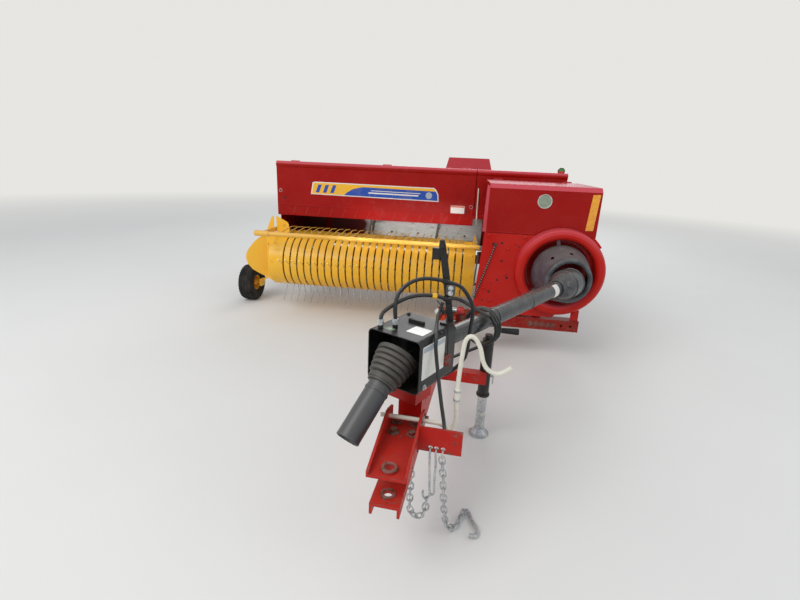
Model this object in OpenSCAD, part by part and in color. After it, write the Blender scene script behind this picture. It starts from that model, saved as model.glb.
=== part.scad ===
// Square baler, towed behind a tractor on a swinging tongue.
// Millimetres, +Z up, the ground at z = 0. It travels toward -Y and +X is its left side.

/* [Bale case] */
// Inside width of the bale chamber
case_w = 457; // [440:1:480]
// Inside height of the bale chamber
case_h = 356; // [340:1:380]
// Height of the chamber floor above the ground
case_z = 620; // [610:1:640]
// Thickness of the case's side sheets
case_t = 6; // [4:1:8]
// Thickness of the case's floor and roof sheets
floor_t = 10; // [8:1:12]
// Length of the bale case
case_l = 2500; // [2400:10:2600]
// Distance between the two strands of twine
twine_gap = 200; // [180:5:220]

/* [Wheels] */
// Radius of the left tyre
tyre_l_r = 374; // [360:1:390]
// Width of the left tyre
tyre_l_w = 270; // [240:1:280]
// Radius of the right tyre
tyre_r_r = 350; // [335:1:365]
// Width of the right tyre
tyre_r_w = 205; // [190:1:230]
// Radius of the small gauge tyre
gauge_r = 184; // [175:1:190]
// Width of the gauge tyre
gauge_w = 150; // [140:1:157]
// Radius of the main wheels' spindles
spindle_r = 25; // [22:1:28]
// Bar size of the axle beam
axle_b = 90; // [80:1:100]

/* [Pickup] */
// Number of rows of tines across the pickup
tine_cols = 26; // [20:1:26]
// Distance between the rows of tines
tine_pitch = 66; // [60:1:66]
// Number of tine bars round the reel
tine_bars = 5; // [4:1:6]
// Radius that the tips of the tines sweep
tip_r = 365; // [350:1:370]
// Radius of the circle on which the tine bars lie
bar_ring_r = 135; // [125:1:140]
// Radius of a tine bar
bar_r = 13; // [10:1:14]
// Radius of the tine wire
tine_r = 3; // [2.5:0.1:3.5]
// Outside radius of the stripper bands' front bend
band_r = 240; // [235:1:245]
// Width of a stripper band
band_w = 54; // [50:1:56]
// Sheet thickness of the bands
band_t = 3; // [2:0.5:4]
// Depth of the bands' turned-in edges
band_lip = 9; // [6:1:12]
// Radius of the windguard's tube
guard_r = 20; // [16:1:24]

/* [Feeder] */
// Width of the hinged front panel
panel_w = 1906; // [1880:1:1906]
// Height of the hinged front panel
panel_h = 497; // [480:1:500]
// Sheet thickness of the shields
skin = 3; // [2:0.5:4]
// Depth of the feeder from the panel to its back sheet
feeder_d = 747; // [740:1:760]
// Radius that the feeder tines sweep
rotor_r = 320; // [300:1:325]

/* [Drive] */
// Outside radius of the ring round the flywheel
ring_ro = 334; // [325:1:340]
// Inside radius of the ring round the flywheel
ring_ri = 255; // [250:1:265]
// Radius of the flywheel
fly_r = 300; // [280:1:310]
// Rim thickness of the flywheel
fly_t = 70; // [60:1:75]
// Outside radius of the driveline's guard tube
guard_tube_r = 48; // [45:1:52]
// Radius of the inner guard tube
inner_tube_r = 42; // [38:1:42]
// Length of the hanging front half of the driveline
front_shaft_l = 330; // [300:1:340]

/* [Tongue] */
// Distance from the tongue's pivot to the hitch hole
tongue_l = 2120; // [2090:1:2140]
// Width of the tongue's box
tongue_w = 100; // [90:1:110]
// Depth of the tongue's box
tongue_h = 110; // [100:1:120]
// Radius of the hitch holes
hitch_r = 17; // [14:0.5:19]
// Height of the upper hitch plate's top face
hitch_z = 450; // [440:1:470]
// Clear gap between the two hitch plates
hitch_gap = 90; // [80:1:96]
// Thickness of the hitch plates
hitch_t = 12; // [10:1:14]
// Width of the black bearing shield
box_w = 256; // [250:1:270]
// Height of the black bearing shield
box_h = 225; // [220:1:240]
// Length of the black bearing shield
box_d = 270; // [260:1:290]
// Outside radius of the jack's tube
jack_r = 31; // [29:1:34]

/* [Chute] */
// Length of the bale chute
chute_l = 730; // [700:5:775]

/* [Hidden] */

e = 0.01;
run = 0.05;
// Case
case_x = 1055;
case_y = -250;
case_xr = case_x - case_w / 2;
case_xl = case_x + case_w / 2;
case_top = case_z + case_h;
rib_d = 30;
rail_w = 60;
rail_h = 50;
rail_x = [case_xr + 10, case_xl - 10 - rail_w];
rail_z = case_z - floor_t - rail_h;
front_y = -750;
beam_z = 240;
beam_h = 90;
beam_d = 90;
post_y = front_y + 15 + fly_t + 15;
// Wheels
axle_y = 1150;
wheel_xl = 1480;
wheel_xr = -1325;
gauge_x = -1575;
gauge_y = 110;
// Pickup
reel_y = -115;
reel_z = 440;
band_y = -100;
band_z = 510;
tine_x0 = -1040;
pick_py = 300;
pick_pz = 585;
pick_xr = -1170;
pick_xl = 700;
end_t = 8;
guard_y = -450;
guard_z = 810;
guard_hy = 60;
guard_hz = 800;
// Feeder
panel_y = 50;
panel_x0 = -1229;
panel_z = 920;
panel_hx = [panel_x0 + 129, panel_x0 + panel_w / 2 + 76, panel_x0 + panel_w - 137];
hood_top = panel_z + panel_h + skin;
back_y = panel_y + feeder_d;
pan_z = case_z + 20;
rotor_x = [355, -345];
rotor_z = pan_z + 6 + 14 + rotor_r;
// Drive
fly_x = 1339;
fly_z = 719;
uj_y = -1100;
shaft_z = 719;
ring_d = 86;
guard_lean = 4.6;
ball_r = 34;
front_ball_r = 32;
// Tongue
piv = [545, -815];
tongue_a = -4.11;
function on_t(x, y) = [piv[0] + x * cos(tongue_a) - y * sin(tongue_a),
  piv[1] + x * sin(tongue_a) + y * cos(tongue_a)];
box_c = on_t(-11.1, 418.8 - tongue_l);
drv = [fly_x - box_c[0], uj_y - box_c[1]];
drv_l = norm(drv);
drv_a = -atan2(drv[0], drv[1]);
box_a = -28;
box_z = 615;
jack_p = [770, -1950];
jack_top = 590;
rod_y = 265 - tongue_l;
chain_x = [120, 143, 169];
flange_z = hitch_z - 2 * hitch_t - hitch_gap - 16;
// Needles
need_py = 330;
need_pz = case_z - 15;
need_R = 700;
need_tip = -2;
need_arc = 39.5;
need_xr = case_xr - case_t - rib_d - 30;
need_xl = case_xl + case_t + 4;
need_t = 16;
plunger_y = -235;
case_end_y = case_y + case_l;

chute_hy = case_end_y + 14;
chute_hz = case_z - 34;

// A round bar between two points
module rod(p, q, r, n = 24) {
  d = q - p;
  L = norm(d);
  translate(p) rotate([0, acos(d[2] / L), atan2(d[1], d[0])]) cylinder(h = L, r = r, $fn = n);
}
// A flat or square bar between two points, w across and h deep
module bar(p, q, w, h) {
  d = q - p;
  L = norm(d);
  translate(p) rotate([0, acos(d[2] / L), atan2(d[1], d[0])])
    translate([-h / 2, -w / 2, 0]) cube([h, w, L]);
}
// A cylinder along X that starts at x0
module xcyl(x0, y, z, l, r, n = 48) {
  translate([x0, y, z]) rotate([0, 90, 0]) cylinder(h = l, r = r, $fn = n);
}
// A cylinder along Y that starts at y0
module ycyl(x, y0, z, l, r, n = 48) {
  translate([x, y0, z]) rotate([-90, 0, 0]) cylinder(h = l, r = r, $fn = n);
}
// A box between two corners
module blk(a, b) { translate(a) cube(b - a); }
// A hinge knuckle along X with a bore
module knuckle(x0, y, z, l, r, b) {
  difference() { xcyl(x0, y, z, l, r, 24); xcyl(x0 - 1, y, z, l + 2, b, 48); }
}
// The side profile of a sheet, drawn in Y and Z, made l wide along X from x0
module xprof(x0, l) {
  translate([x0, 0, 0]) rotate([90, 0, 90]) linear_extrude(height = l) children();
}
// Turns the tongue's own frame, whose hitch lies toward -Y, into place
module on_tongue() { translate([piv[0], piv[1], 0]) rotate([0, 0, tongue_a]) children(); }
// The frame of the bearing shield, its middle at the shield's centre, forward is -Y
module on_box() { translate([box_c[0], box_c[1], 0]) rotate([0, 0, box_a]) children(); }
// The driveline's frame, its origin at the rear joint and the shaft along -Y
module on_drive() { translate([fly_x, uj_y, shaft_z]) rotate([0, 0, drv_a]) children(); }

// Frame, axle and tongue pivot
module frame() color("#9c1a1a") difference() {
  union() {
    blk([435, front_y - 10, beam_z], [1550, front_y - 10 + beam_d, beam_z + beam_h]);
    for (x = rail_x) {
      blk([x, front_y - 10 + beam_d - e, beam_z], [x + rail_w, post_y + 60, beam_z + beam_h]);
      blk([x, post_y, beam_z + beam_h - e], [x + rail_w, post_y + 60, case_z - floor_t]);
      blk([x, post_y, rail_z], [x + rail_w, axle_y + 100, case_z - floor_t]);
      blk([x, axle_y - 40, tyre_l_r], [x + rail_w, axle_y + 40, rail_z + e]);
    }
    blk([wheel_xr + 175, axle_y - axle_b / 2, tyre_l_r - axle_b / 2],
        [wheel_xl - tyre_l_w / 2 - 30, axle_y + axle_b / 2, tyre_l_r + axle_b / 2]);
    xcyl(wheel_xl - tyre_l_w / 2 - 31, axle_y, tyre_l_r, tyre_l_w / 2 + 91, spindle_r);
    blk([wheel_xr + 165, axle_y - 60, tyre_r_r - 55], [wheel_xr + 175 + e, axle_y + 60, tyre_l_r + 45]);
    xcyl(wheel_xr - 60, axle_y, tyre_r_r, 226, spindle_r);
    // Right-hand arm from the axle to the feeder pan
    blk([-1090, 500, pan_z - 80], [-1030, axle_y + 45, pan_z - 20]);
    blk([-1090, axle_y - 45, tyre_l_r + 44], [-1030, axle_y + 45, pan_z - 79]);
    // Tongue pivot plates and pin
    for (z = [beam_z - 5, beam_z + beam_h - 10])
      hull() {
        translate([piv[0], piv[1], z]) cylinder(h = 15, r = 48, $fn = 32);
        blk([piv[0] - 90, front_y - 11, z], [piv[0] + 90, front_y, z + 15]);
      }
    translate([piv[0], piv[1], beam_z - 20]) cylinder(h = beam_h + 45, r = 20, $fn = 48);
  }
  for (x = [1490, 1420]) translate([x, front_y - 20, beam_z + beam_h / 2]) rotate([-90, 0, 0])
    cylinder(h = 30, r = 11, $fn = 24);
}

// Bale case with its feed opening, rear windows and needle slots
module case_ribs(y, w) {
  for (s = [0, 1]) {
    x = s == 0 ? case_xr - case_t - rib_d : case_xl + case_t - e;
    blk([x, y, case_z - floor_t], [x + rib_d + e, y + w, case_top + floor_t]);
  }
}
module bale_case() color("#a31c1c") difference() {
  union() {
    blk([case_xr - case_t, case_y, case_z - floor_t], [case_xl + case_t, case_end_y, case_z]);
    for (x = [case_xr - case_t, case_xl])
      blk([x, case_y, case_z - floor_t], [x + case_t, case_end_y, case_top + floor_t]);
    blk([case_xr - case_t, case_y, case_top], [case_xl + case_t, case_end_y - 960, case_top + floor_t]);
    for (x = [case_xr, case_xl - 90])
      blk([x, case_end_y - 960 - e, case_top], [x + 90, case_end_y, case_top + floor_t]);
    for (y = [case_y, 590, case_end_y - 1000, case_end_y - 690, case_end_y - 40]) case_ribs(y, 40);
    xcyl(need_xr - 4, need_py, need_pz, case_xr - need_xr + 4, 12, 48);
    xcyl(need_xr + need_t + 1, need_py, need_pz, case_xr - need_xr - need_t - 1, 22, 32);
    xcyl(case_xl, need_py, need_pz, need_xl - case_xl + need_t + 4, 12, 48);
    xcyl(case_xl, need_py, need_pz, need_xl - case_xl - 1, 22, 32);
    for (x = [case_xr + 30, case_xl - 50])
      blk([x, case_end_y - 40, chute_hz - 12], [x + 20, chute_hy + 12, case_z - floor_t + e]);
    xcyl(case_xr + 10, chute_hy, chute_hz, case_w - 20, 8, 48);
    blk([case_xr - case_t, case_end_y - 40, case_top], [case_xl + case_t, case_end_y, case_top + floor_t]);
  }
  blk([case_xr - case_t - 1, 60, case_z + 26], [case_xr + 1, 560, case_top - 10]);
  for (s = [0, 1], d = [930, 630]) {
    y = case_end_y - d;
    x = s == 0 ? case_xr - case_t - 1 : case_xl - 1;
    blk([x, y, case_z + 90], [x + case_t + 2, y + (d == 930 ? 220 : 540), case_top - 90]);
  }
  for (s = [-1, 1]) {
    x = case_x + s * twine_gap / 2;
    blk([x - 14, 985, case_z - floor_t - 1], [x + 14, 1060, case_z + 1]);
    blk([x - 14, 885, case_top - 1], [x + 14, 1010, case_top + floor_t + 1]);
  }
}

// Feeder floor pan and worn back sheet
module feeder_pan() color("#8c8a86") {
  difference() {
    union() {
      blk([panel_x0 + skin, 300, pan_z], [case_xr - case_t, back_y, pan_z + 6]);
      xprof(panel_x0 + skin, case_xr - case_t - panel_x0 - skin)
        polygon([[300, pan_z], [262, pan_z + 50], [265, pan_z + 54], [302, pan_z + 6]]);
      blk([panel_x0 + skin, back_y - skin, pan_z + 5], [case_xr - case_t, back_y, 1000]);
      blk([panel_x0 + skin, 305, pan_z - 20], [need_xr - 20, 340, pan_z + e]);
      blk([panel_x0 + skin, 500, pan_z - 20], [need_xr - 20, 560, pan_z + e]);
      blk([pick_xl + 18, 255, pick_pz - 30], [pick_xl + 28, 345, pan_z + e]);
      blk([pick_xr - 20, 255, pick_pz - 30], [pick_xr - 10, 345, pan_z + e]);
      xcyl(pick_xl - 5, pick_py, pick_pz, 24, 15);
      xcyl(pick_xr - 11, pick_py, pick_pz, 24, 15);
    }
    blk([case_xr - case_t - rib_d, 590, pan_z - 30], [case_xr, 630, 1100]);
  }
}

// Fixed lower shield with the ring round the flywheel
module front_shield() color("#a81a1c") {
  difference() {
    union() {
      translate([0, front_y, 0]) rotate([90, 0, 0]) translate([0, 0, -skin])
        linear_extrude(height = skin) difference() {
          union() {
            polygon([[755, 985], [717, 420], [700, 345], [1339, 345], [1560, 600], [1560, 985]]);
            translate([fly_x, fly_z]) circle(r = ring_ro, $fn = 96);
          }
          translate([fly_x, fly_z]) circle(r = ring_ri, $fn = 96);
          for (p = [[830, 900], [830, 520], [905, 770], [960, 640]])
            translate(p) circle(r = 9, $fn = 24);
        }
      translate([fly_x, front_y, fly_z]) rotate([90, 0, 0])
        rotate_extrude($fn = 96) polygon([[ring_ro - 30, -e], [ring_ro, -e], [ring_ro, 0],
          [ring_ro - 6, ring_d - 25], [ring_ro - 20, ring_d - 8], [ring_ro - 38, ring_d],
          [ring_ri + 22, ring_d], [ring_ri + 8, ring_d - 7], [ring_ri, ring_d - 22], [ring_ri, 0],
          [ring_ri, -e], [ring_ri + skin, -e], [ring_ri + skin, ring_d - 22], [ring_ri + 10, ring_d - 9],
          [ring_ri + 22, ring_d - 3], [ring_ro - 38, ring_d - 3], [ring_ro - 22, ring_d - 11],
          [ring_ro - 9, ring_d - 26], [ring_ro - skin, 0], [ring_ro - 30, 0]]);
      for (x = [830, 1480]) blk([x, front_y, beam_z + beam_h], [x + 60, front_y + 6, 420]);
    }
  }
}

// Fixed shields over the feeder and the front of the case
module shields() color("#b01e22") {
  x1 = panel_x0 + panel_w + 5;
  xe = 1475;
  xprof(panel_x0, xe - panel_x0)
    polygon([[panel_y + 66, hood_top], [back_y, hood_top - 30], [back_y, 1000],
      [back_y - skin, 1000], [back_y - skin, hood_top - 30 - skin], [panel_y + 66, hood_top - skin]]);
  xprof(panel_x0, skin)
    polygon([[panel_y + 66, hood_top - 1], [back_y, hood_top - 31], [back_y, pan_z - 20],
      [panel_y + 80, pan_z - 20], [panel_y + 66, panel_z]]);
  xprof(xe - skin, skin)
    polygon([[panel_y, hood_top - 1], [back_y, hood_top - 31], [back_y, case_top + floor_t + 30],
      [panel_y, case_top + floor_t + 30]]);
  blk([x1, panel_y, case_top + floor_t], [xe, panel_y + skin, hood_top]);
  blk([x1, panel_y, hood_top - skin], [xe, panel_y + 67, hood_top]);
  blk([x1, panel_y + skin - e, 1000], [x1 + skin, back_y, hood_top - 32]);
  // Fixed halves of the panel's and the hood's hinges
  for (x = panel_hx) {
    knuckle(x + 41, panel_y + 60, hood_top + 9, 40, 8.5, 5);
    blk([x + 41, panel_y + 66, hood_top - 1], [x + 81, panel_y + 72, hood_top + 4]);
    xcyl(x + 2, panel_y + 60, hood_top + 9, 78, 5, 48);
  }
  for (x = [830, 1430]) {
    knuckle(x + 41, panel_y - 9, 1350, 40, 8, 4);
    blk([x + 41, panel_y - 2, 1340], [x + 81, panel_y + e, 1360]);
    xcyl(x + 2, panel_y - 9, 1350, 78, 4, 48);
  }
}

// Hinged front panel over the pickup
module panel_front() color("#b01e22") {
  y = panel_y;
  xprof(panel_x0, panel_w)
    polygon([[y, panel_z], [y + 30, panel_z], [y + 30, panel_z + skin], [y + skin, panel_z + skin],
      [y + skin, hood_top - 18], [y + 16, hood_top - skin], [y + 60, hood_top - skin],
      [y + 60, hood_top], [y + 14, hood_top], [y, hood_top - 16]]);
  for (x = [panel_x0, panel_x0 + panel_w - skin])
    xprof(x, skin) polygon([[y + 1, panel_z + 1], [y + 40, panel_z + 1], [y + 60, hood_top - 1],
      [y + 14, hood_top - 1], [y + 1, hood_top - 16]]);
  for (x = panel_hx) {
    knuckle(x, y + 60, hood_top + 9, 40, 8.5, 5 + run);
    blk([x, y + 48, hood_top - 1], [x + 40, y + 57, hood_top + 4]);
  }
}

// Hinged front hood over the gearbox
module hood_front() color("#b41f24") difference() {
  union() { hood_sheets(); }
  ycyl(fly_x, front_y - 10, fly_z, 30, ring_ro + 4, 96);
}
module hood_sheets() {
  z0 = 988;
  z1 = 1350;
  x0 = 765;
  x1 = 1570;
  ye = 30;
  xprof(x0, x1 - x0)
    polygon([[front_y, z0], [front_y + skin, z0], [front_y + skin, z1 - 34], [front_y + 34, z1 - skin],
      [ye, z1 - skin], [ye, z1], [front_y + 32, z1], [front_y, z1 - 32]]);
  for (x = [x0, x1 - skin])
    xprof(x, skin) polygon([[front_y + 1, z0], [ye, z0], [ye, z1 - 1], [front_y + 32, z1 - 1],
      [front_y + 1, z1 - 32]]);
  for (x = [830, 1430]) {
    knuckle(x, panel_y - 9, z1, 40, 8, 4 + run);
    blk([x, ye - 10, z1 - 1], [x + 40, panel_y - 14, z1 + 3]);
  }
}

// Main gearbox, one plain block with its bearing nose and feet
module gearbox() color("#3b3b3d") difference() {
  union() {
    blk([1150, -590, case_z - floor_t + 40], [1440, -300, 860]);
    ycyl(fly_x, -640, fly_z, 60, 70);
    blk([1170, -570, case_z - floor_t], [rail_x[1] + rail_w, -320, case_z - floor_t + 41]);
    ycyl(1150 + 70, -300 - e, 735, 50, 60);
  }
  ycyl(fly_x, -700, fly_z, 210, 30);
}

// Flywheel with its shaft out to the driveline
module flywheel() color("#4a4248") {
  y0 = front_y + 15;
  translate([fly_x, y0 + fly_t, fly_z]) rotate([90, 0, 0]) rotate_extrude($fn = 96)
    polygon([[0, 0], [fly_r, 0], [fly_r, fly_t], [fly_r - 70, fly_t], [fly_r - 78, 30],
      [95, 30], [85, fly_t + 20], [55, fly_t + 34], [0, fly_t + 34]]);
  ycyl(fly_x, y0 + fly_t - e, fly_z, 165, 30 - run);
  ycyl(fly_x, uj_y, fly_z, y0 - uj_y, 22, 32);
  translate([fly_x, uj_y, fly_z]) sphere(r = ball_r, $fn = 48);
}

// Moulded guard over the driveline's rear joint, held in the ring by three tabs
module flywheel_guard() color("#4a4248") translate([fly_x, front_y - 40, fly_z]) rotate([90, 0, 0]) {
  difference() {
    rotate([0, guard_lean, 0]) difference() {
      rotate_extrude($fn = 96) polygon([[212, 0], [211, 40], [204, 80], [192, 120], [176, 165], [160, 202],
        [161, 215], [163, 232], [160, 248], [150, 258], [139, 260], [131, 254], [128, 243], [131, 232],
        [142, 226], [154, 205], [156, 200], [172, 163], [188, 118], [200, 78], [207, 40], [208, 0]]);
      for (a = [84, 128]) rotate([0, 0, a]) translate([160, 0, 140]) rotate([0, 50, 0])
        cylinder(h = 120, r = 13, center = true, $fn = 32);
    }
  }
  for (a = [100, 220, 340]) rotate([0, 0, a]) {
    translate([205, -12, 18]) cube([ring_ri - 205 - 0.6, 24, 4]);
    translate([ring_ri - 4.6, -12, -20]) cube([4, 24, 42]);
  }
}

// Twine box and its lid
lid_hx = 345;
lid_hz = 1402;
module yknuckle(x, y0, z, l, r, b) {
  difference() { ycyl(x, y0, z, l, r, 24); ycyl(x, y0 - 1, z, l + 2, b, 48); }
}
module twine_box() color("#a81a1c") {
  twine_body();
  for (y = [960, 1720]) {
    yknuckle(lid_hx, y + 41, lid_hz, 40, 8, 4);
    ycyl(lid_hx, y + 2, lid_hz, 78, 4, 48);
    blk([lid_hx - 7, y + 41, 1382], [361, y + 81, 1396]);
  }
}
module twine_body() difference() {
  union() {
    blk([360, back_y + 40, 1000], [845, 1900, 1400]);
    blk([360, back_y + 40, 700], [case_xr - case_t - rib_d - 6, 1900, 1001]);
    for (y = [1250, 1560])
      blk([case_xr - case_t - rib_d - 7, y, 760], [case_xr - case_t - rib_d, y + 40, 840]);
  }
  blk([360 + skin, back_y + 40 + skin, 1000 - skin], [845 - skin, 1900 - skin, 1401]);
  blk([360 + skin, back_y + 40 + skin, 700 + skin],
      [case_xr - case_t - rib_d - 6 - skin, 1900 - skin, 1000]);
}
module twine_lid() color("#b41f24") {
  y0 = back_y + 38;
  for (y = [960, 1720]) {
    yknuckle(lid_hx, y, lid_hz, 40, 8, 4 + run);
    blk([lid_hx + 1, y, lid_hz + 4.5], [360, y + 40, lid_hz + 8]);
  }
  difference() {
    hull() {
      blk([355, y0, 1401], [850, 1902, 1402]);
      blk([385, y0 + 60, 1528], [815, 1842, 1530]);
    }
    hull() {
      blk([355 + skin, y0 + skin, 1400], [850 - skin, 1902 - skin, 1401]);
      blk([385 + skin, y0 + 60 + skin, 1527 - skin], [815 - skin, 1842 - skin, 1529 - skin]);
    }
  }
}

// Knotters on the case: shaft, cam discs, bill hooks and trip arm
kn_x0 = 864;
kn_y = 1080;
module knotters() color("#54565a") {
  z0 = case_top + floor_t;
  zs = z0 + 130;
  xcyl(kn_x0, kn_y, zs, case_xl - kn_x0 - 4, 17, 32);
  for (x = [kn_x0, case_xl - 16])
    xprof(x, 12) polygon([[kn_y - 60, z0], [kn_y + 100, z0], [kn_y + 60, zs + 40], [kn_y - 40, zs + 40]]);
  for (s = [-1, 1]) {
    x = case_x + s * twine_gap / 2;
    xcyl(x - 40, kn_y, zs, 22, 105, 64);
    xcyl(x - 18 - e, kn_y, zs, 30, 40, 32);
    xprof(x + 12 - e, 20) polygon([[kn_y - 5, z0], [kn_y + 150, z0], [kn_y + 150, z0 + 24], [kn_y + 50, z0 + 60],
      [kn_y + 30, zs + 45], [kn_y - 30, zs + 45]]);
    rod([x + 6, kn_y + 70, z0 + 60], [x - 22, kn_y - 50, z0 + 28], 9, 16);
    translate([x - 22, kn_y - 50, z0 + 28]) sphere(r = 13, $fn = 24);
  }
  for (x = [890, 1190]) {
    blk([x + 41, 872, z0], [x + 71, 884, cover_z + 6]);
    knuckle(x + 41, 866, cover_z + 9, 30, 9, 5);
    xcyl(x + 2, 866, cover_z + 9, 68, 5, 48);
  }
}
cover_z = 1300;
module knotter_cover() color("#b01e22") {
  z1 = cover_z;
  xa = 856;
  xb = case_xl + 20;
  xprof(xa, xb - xa) polygon([[890, z1 - skin], [890, z1], [1190, z1], [1270, 1200], [1270, 1020],
    [1270 - skin, 1020], [1270 - skin, 1199], [1188, z1 - skin]]);
  for (x = [xa, xb - skin]) xprof(x, skin)
    polygon([[890, z1 - 1], [1189, z1 - 1], [1269, 1199], [1269, 1040], [890, 1140]]);
  for (x = [890, 1190]) {
    knuckle(x, 866, z1 + 9, 40, 9, 5 + run);
    blk([x, 870, z1 + 2], [x + 40, 900, z1 + 6]);
    blk([x, 892, z1 - 1], [x + 40, 900, z1 + 5]);
  }
}

// Bale tension frame round the end of the case
module tension_unit() color("#a31c1c") {
  y = case_end_y - 290;
  z0 = case_top + floor_t;
  xa = case_xr - case_t - rib_d - 30;
  xb = case_xl + case_t + rib_d;
  blk([xa, y, z0], [xb + 30, y + 80, z0 + 60]);
  blk([xa, y, case_z - floor_t - 60], [xb + 30, y + 80, case_z - floor_t]);
  for (x = [xa, xb]) blk([x, y + 20, case_z - floor_t - 1], [x + 30, y + 60, z0 + 1]);
  translate([case_x, y + 40, z0 + 59]) cylinder(h = 150, r = 34, $fn = 32);
  translate([case_x, y + 40, z0 + 208]) cylinder(h = 25, r = 20, $fn = 32);
}

// Feeder drive beam with the two rotor bearings
module feeder_drive() color("#3b3b3d") difference() {
  blk([-430, 640, rotor_z - 55], [470, back_y - skin, rotor_z + 55]);
  for (x = rotor_x) ycyl(x, 600, rotor_z, 150, 25);
}
module feeder_rotor(x) color("#8d8f92") {
  ycyl(x, 330, rotor_z, 400, 25 - run, 48);
  ycyl(x, 330, rotor_z, 300, 45, 32);
  for (k = [0 : 2]) translate([x, 0, rotor_z]) rotate([0, 60 + 120 * k, 0]) {
    for (y = [370, 570]) {
      rod([0, y, 40], [30, y, rotor_r - 70], 11, 16);
      rod([30, y, rotor_r - 70], [0, y, rotor_r - 8], 8, 16);
      translate([30, y, rotor_r - 70]) sphere(r = 11, $fn = 16);
    }
    rod([0, 370, 150], [0, 570, 150], 8, 12);
  }
}

// Tyres and rims
module tyre(r, w, rr) {
  rotate([0, 90, 0]) rotate_extrude($fn = 96)
    polygon([[rr, -w * 0.37], [r * 0.83, -w / 2], [r * 0.95, -w * 0.43], [r, -w * 0.24],
      [r, w * 0.24], [r * 0.95, w * 0.43], [r * 0.83, w / 2], [rr, w * 0.37]]);
}
rim_l_r = 178;
rim_r_r = 190;
rim_g_r = 76;
module at_left() { translate([wheel_xl, axle_y, tyre_l_r]) children(); }
module at_right() { translate([wheel_xr, axle_y, tyre_r_r]) mirror([1, 0, 0]) children(); }
module at_gauge() { translate([gauge_x, gauge_y, gauge_r]) mirror([1, 0, 0]) children(); }
module tyre_left() color("#1d1d1e") at_left() tyre(tyre_l_r, tyre_l_w, rim_l_r);
module tyre_right() color("#1d1d1e") at_right() tyre(tyre_r_r, tyre_r_w, rim_r_r);
module tyre_gauge() color("#1d1d1e") at_gauge() tyre(gauge_r, gauge_w, rim_g_r);
module plain_rim(w, rr, hub_r, bore_r) {
  rotate([0, 90, 0]) difference() {
    union() {
      rotate_extrude($fn = 96) polygon([[rr - 6, -w * 0.36], [rr, -w * 0.36], [rr, w * 0.36], [rr - 6, w * 0.36]]);
      rotate_extrude($fn = 96) polygon([[hub_r - 2, -6], [rr - 5, 14], [rr - 5, 22], [hub_r - 2, 2]]);
      translate([0, 0, -w * 0.30]) cylinder(h = w * 0.60, r = hub_r, $fn = 48);
    }
    translate([0, 0, -w]) cylinder(h = 2 * w, r = bore_r + run, $fn = 48);
    if (rr > 100) for (k = [0 : 5]) rotate([0, 0, 60 * k + 30]) translate([hub_r + 30, 0, -w])
      cylinder(h = 2 * w, r = 7, $fn = 24);
  }
}
module rim_left() color("#e8e4da") at_left() plain_rim(tyre_l_w, rim_l_r, 55, spindle_r);
module rim_right() color("#e8e4da") at_right() plain_rim(tyre_r_w, rim_r_r, 55, spindle_r);
module rim_gauge() color("#f2b63c") at_gauge() plain_rim(gauge_w, rim_g_r, 24, 12);

// Pickup: end plates, rails, gauge wheel arm
module pickup_frame() color("#e0a42c") difference() {
  union() {
    for (x = [pick_xr, pick_xl]) {
      xprof(x, end_t) hull() {
        translate([band_y, band_z]) circle(r = band_r - band_t - 0.3, $fn = 96);
        translate([pick_py, pick_pz]) circle(r = 32, $fn = 32);
        polygon([[250, band_z - band_r + band_t + 0.3], [285, band_z - band_r + band_t + 0.3], [285, 330]]);
      }
      xprof(x, end_t) hull() {
        translate([guard_hy, guard_hz]) circle(r = 24, $fn = 32);
        polygon([[-10, 600], [235, 600], [235, 745], [-10, 745]]);
      }
    }
    blk([pick_xr + 1, 200, band_z + band_r - band_lip - 30], [pick_xl + end_t - 1, 226, band_z + band_r - band_lip]);
    blk([pick_xr + 1, 255, band_z - band_r + band_lip], [pick_xl + end_t - 1, 285, band_z - band_r + band_lip + 30]);
    // Windguard hinge pins
    xcyl(pick_xr - 16, guard_hy, guard_hz, 17, 10, 48);
    xcyl(pick_xl + end_t - 1, guard_hy, guard_hz, 17, 10, 48);
    // Arm and spindle of the gauge wheel
    bar([pick_xr + 2, 210, 470], [gauge_x + gauge_w / 2 + 40, gauge_y + 30, gauge_r + 20], 50, 14);
    blk([gauge_x + gauge_w / 2 + 20, gauge_y - 30, gauge_r - 30],
        [gauge_x + gauge_w / 2 + 44, gauge_y + 50, gauge_r + 40]);
    xcyl(gauge_x - gauge_w / 2 + 15, gauge_y, gauge_r, gauge_w + 10, 12);
  }
  for (x = [pick_xr, pick_xl]) {
    xcyl(x - 1, reel_y, reel_z, end_t + 2, 20);
    xcyl(x - 1, pick_py, pick_pz, end_t + 2, 15 + run);
  }
}

// One stripper band: a channel bent round the front, straight above and below
module band(x0, w, lip, top) {
  ro = band_r;
  ri = band_r - band_t;
  module sect() {
    polygon(lip > 0 ?
      [[ro, 3], [ro, w - 3], [ro - 3, w], [ro - lip, w], [ro - lip, w - band_t], [ri - 1, w - band_t],
       [ri, w - band_t - 1], [ri, band_t + 1], [ri - 1, band_t], [ro - lip, band_t], [ro - lip, 0], [ro - 3, 0]]
      : [[ri, 0], [ro, 0], [ro, w], [ri, w]]);
  }
  translate([x0, band_y, band_z]) {
    rotate([0, 0, 0]) rotate([90, 0, 90]) {
      rotate([0, 0, 90]) rotate_extrude(angle = 180, $fn = 96) sect();
    }
    // top run, ending on the top rail
    translate([0, -e, 0]) rotate([90, 0, 0]) mirror([0, 0, 1]) linear_extrude(height = top + e)
      translate([0, 0]) rotate([0, 0, 90]) mirror([0, 1]) sect();
    // bottom run, ending on the lower rail
    translate([0, -e, 0]) rotate([90, 0, 0]) mirror([0, 0, 1]) linear_extrude(height = 385 + e)
      rotate([0, 0, -90]) sect();
  }
}
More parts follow.
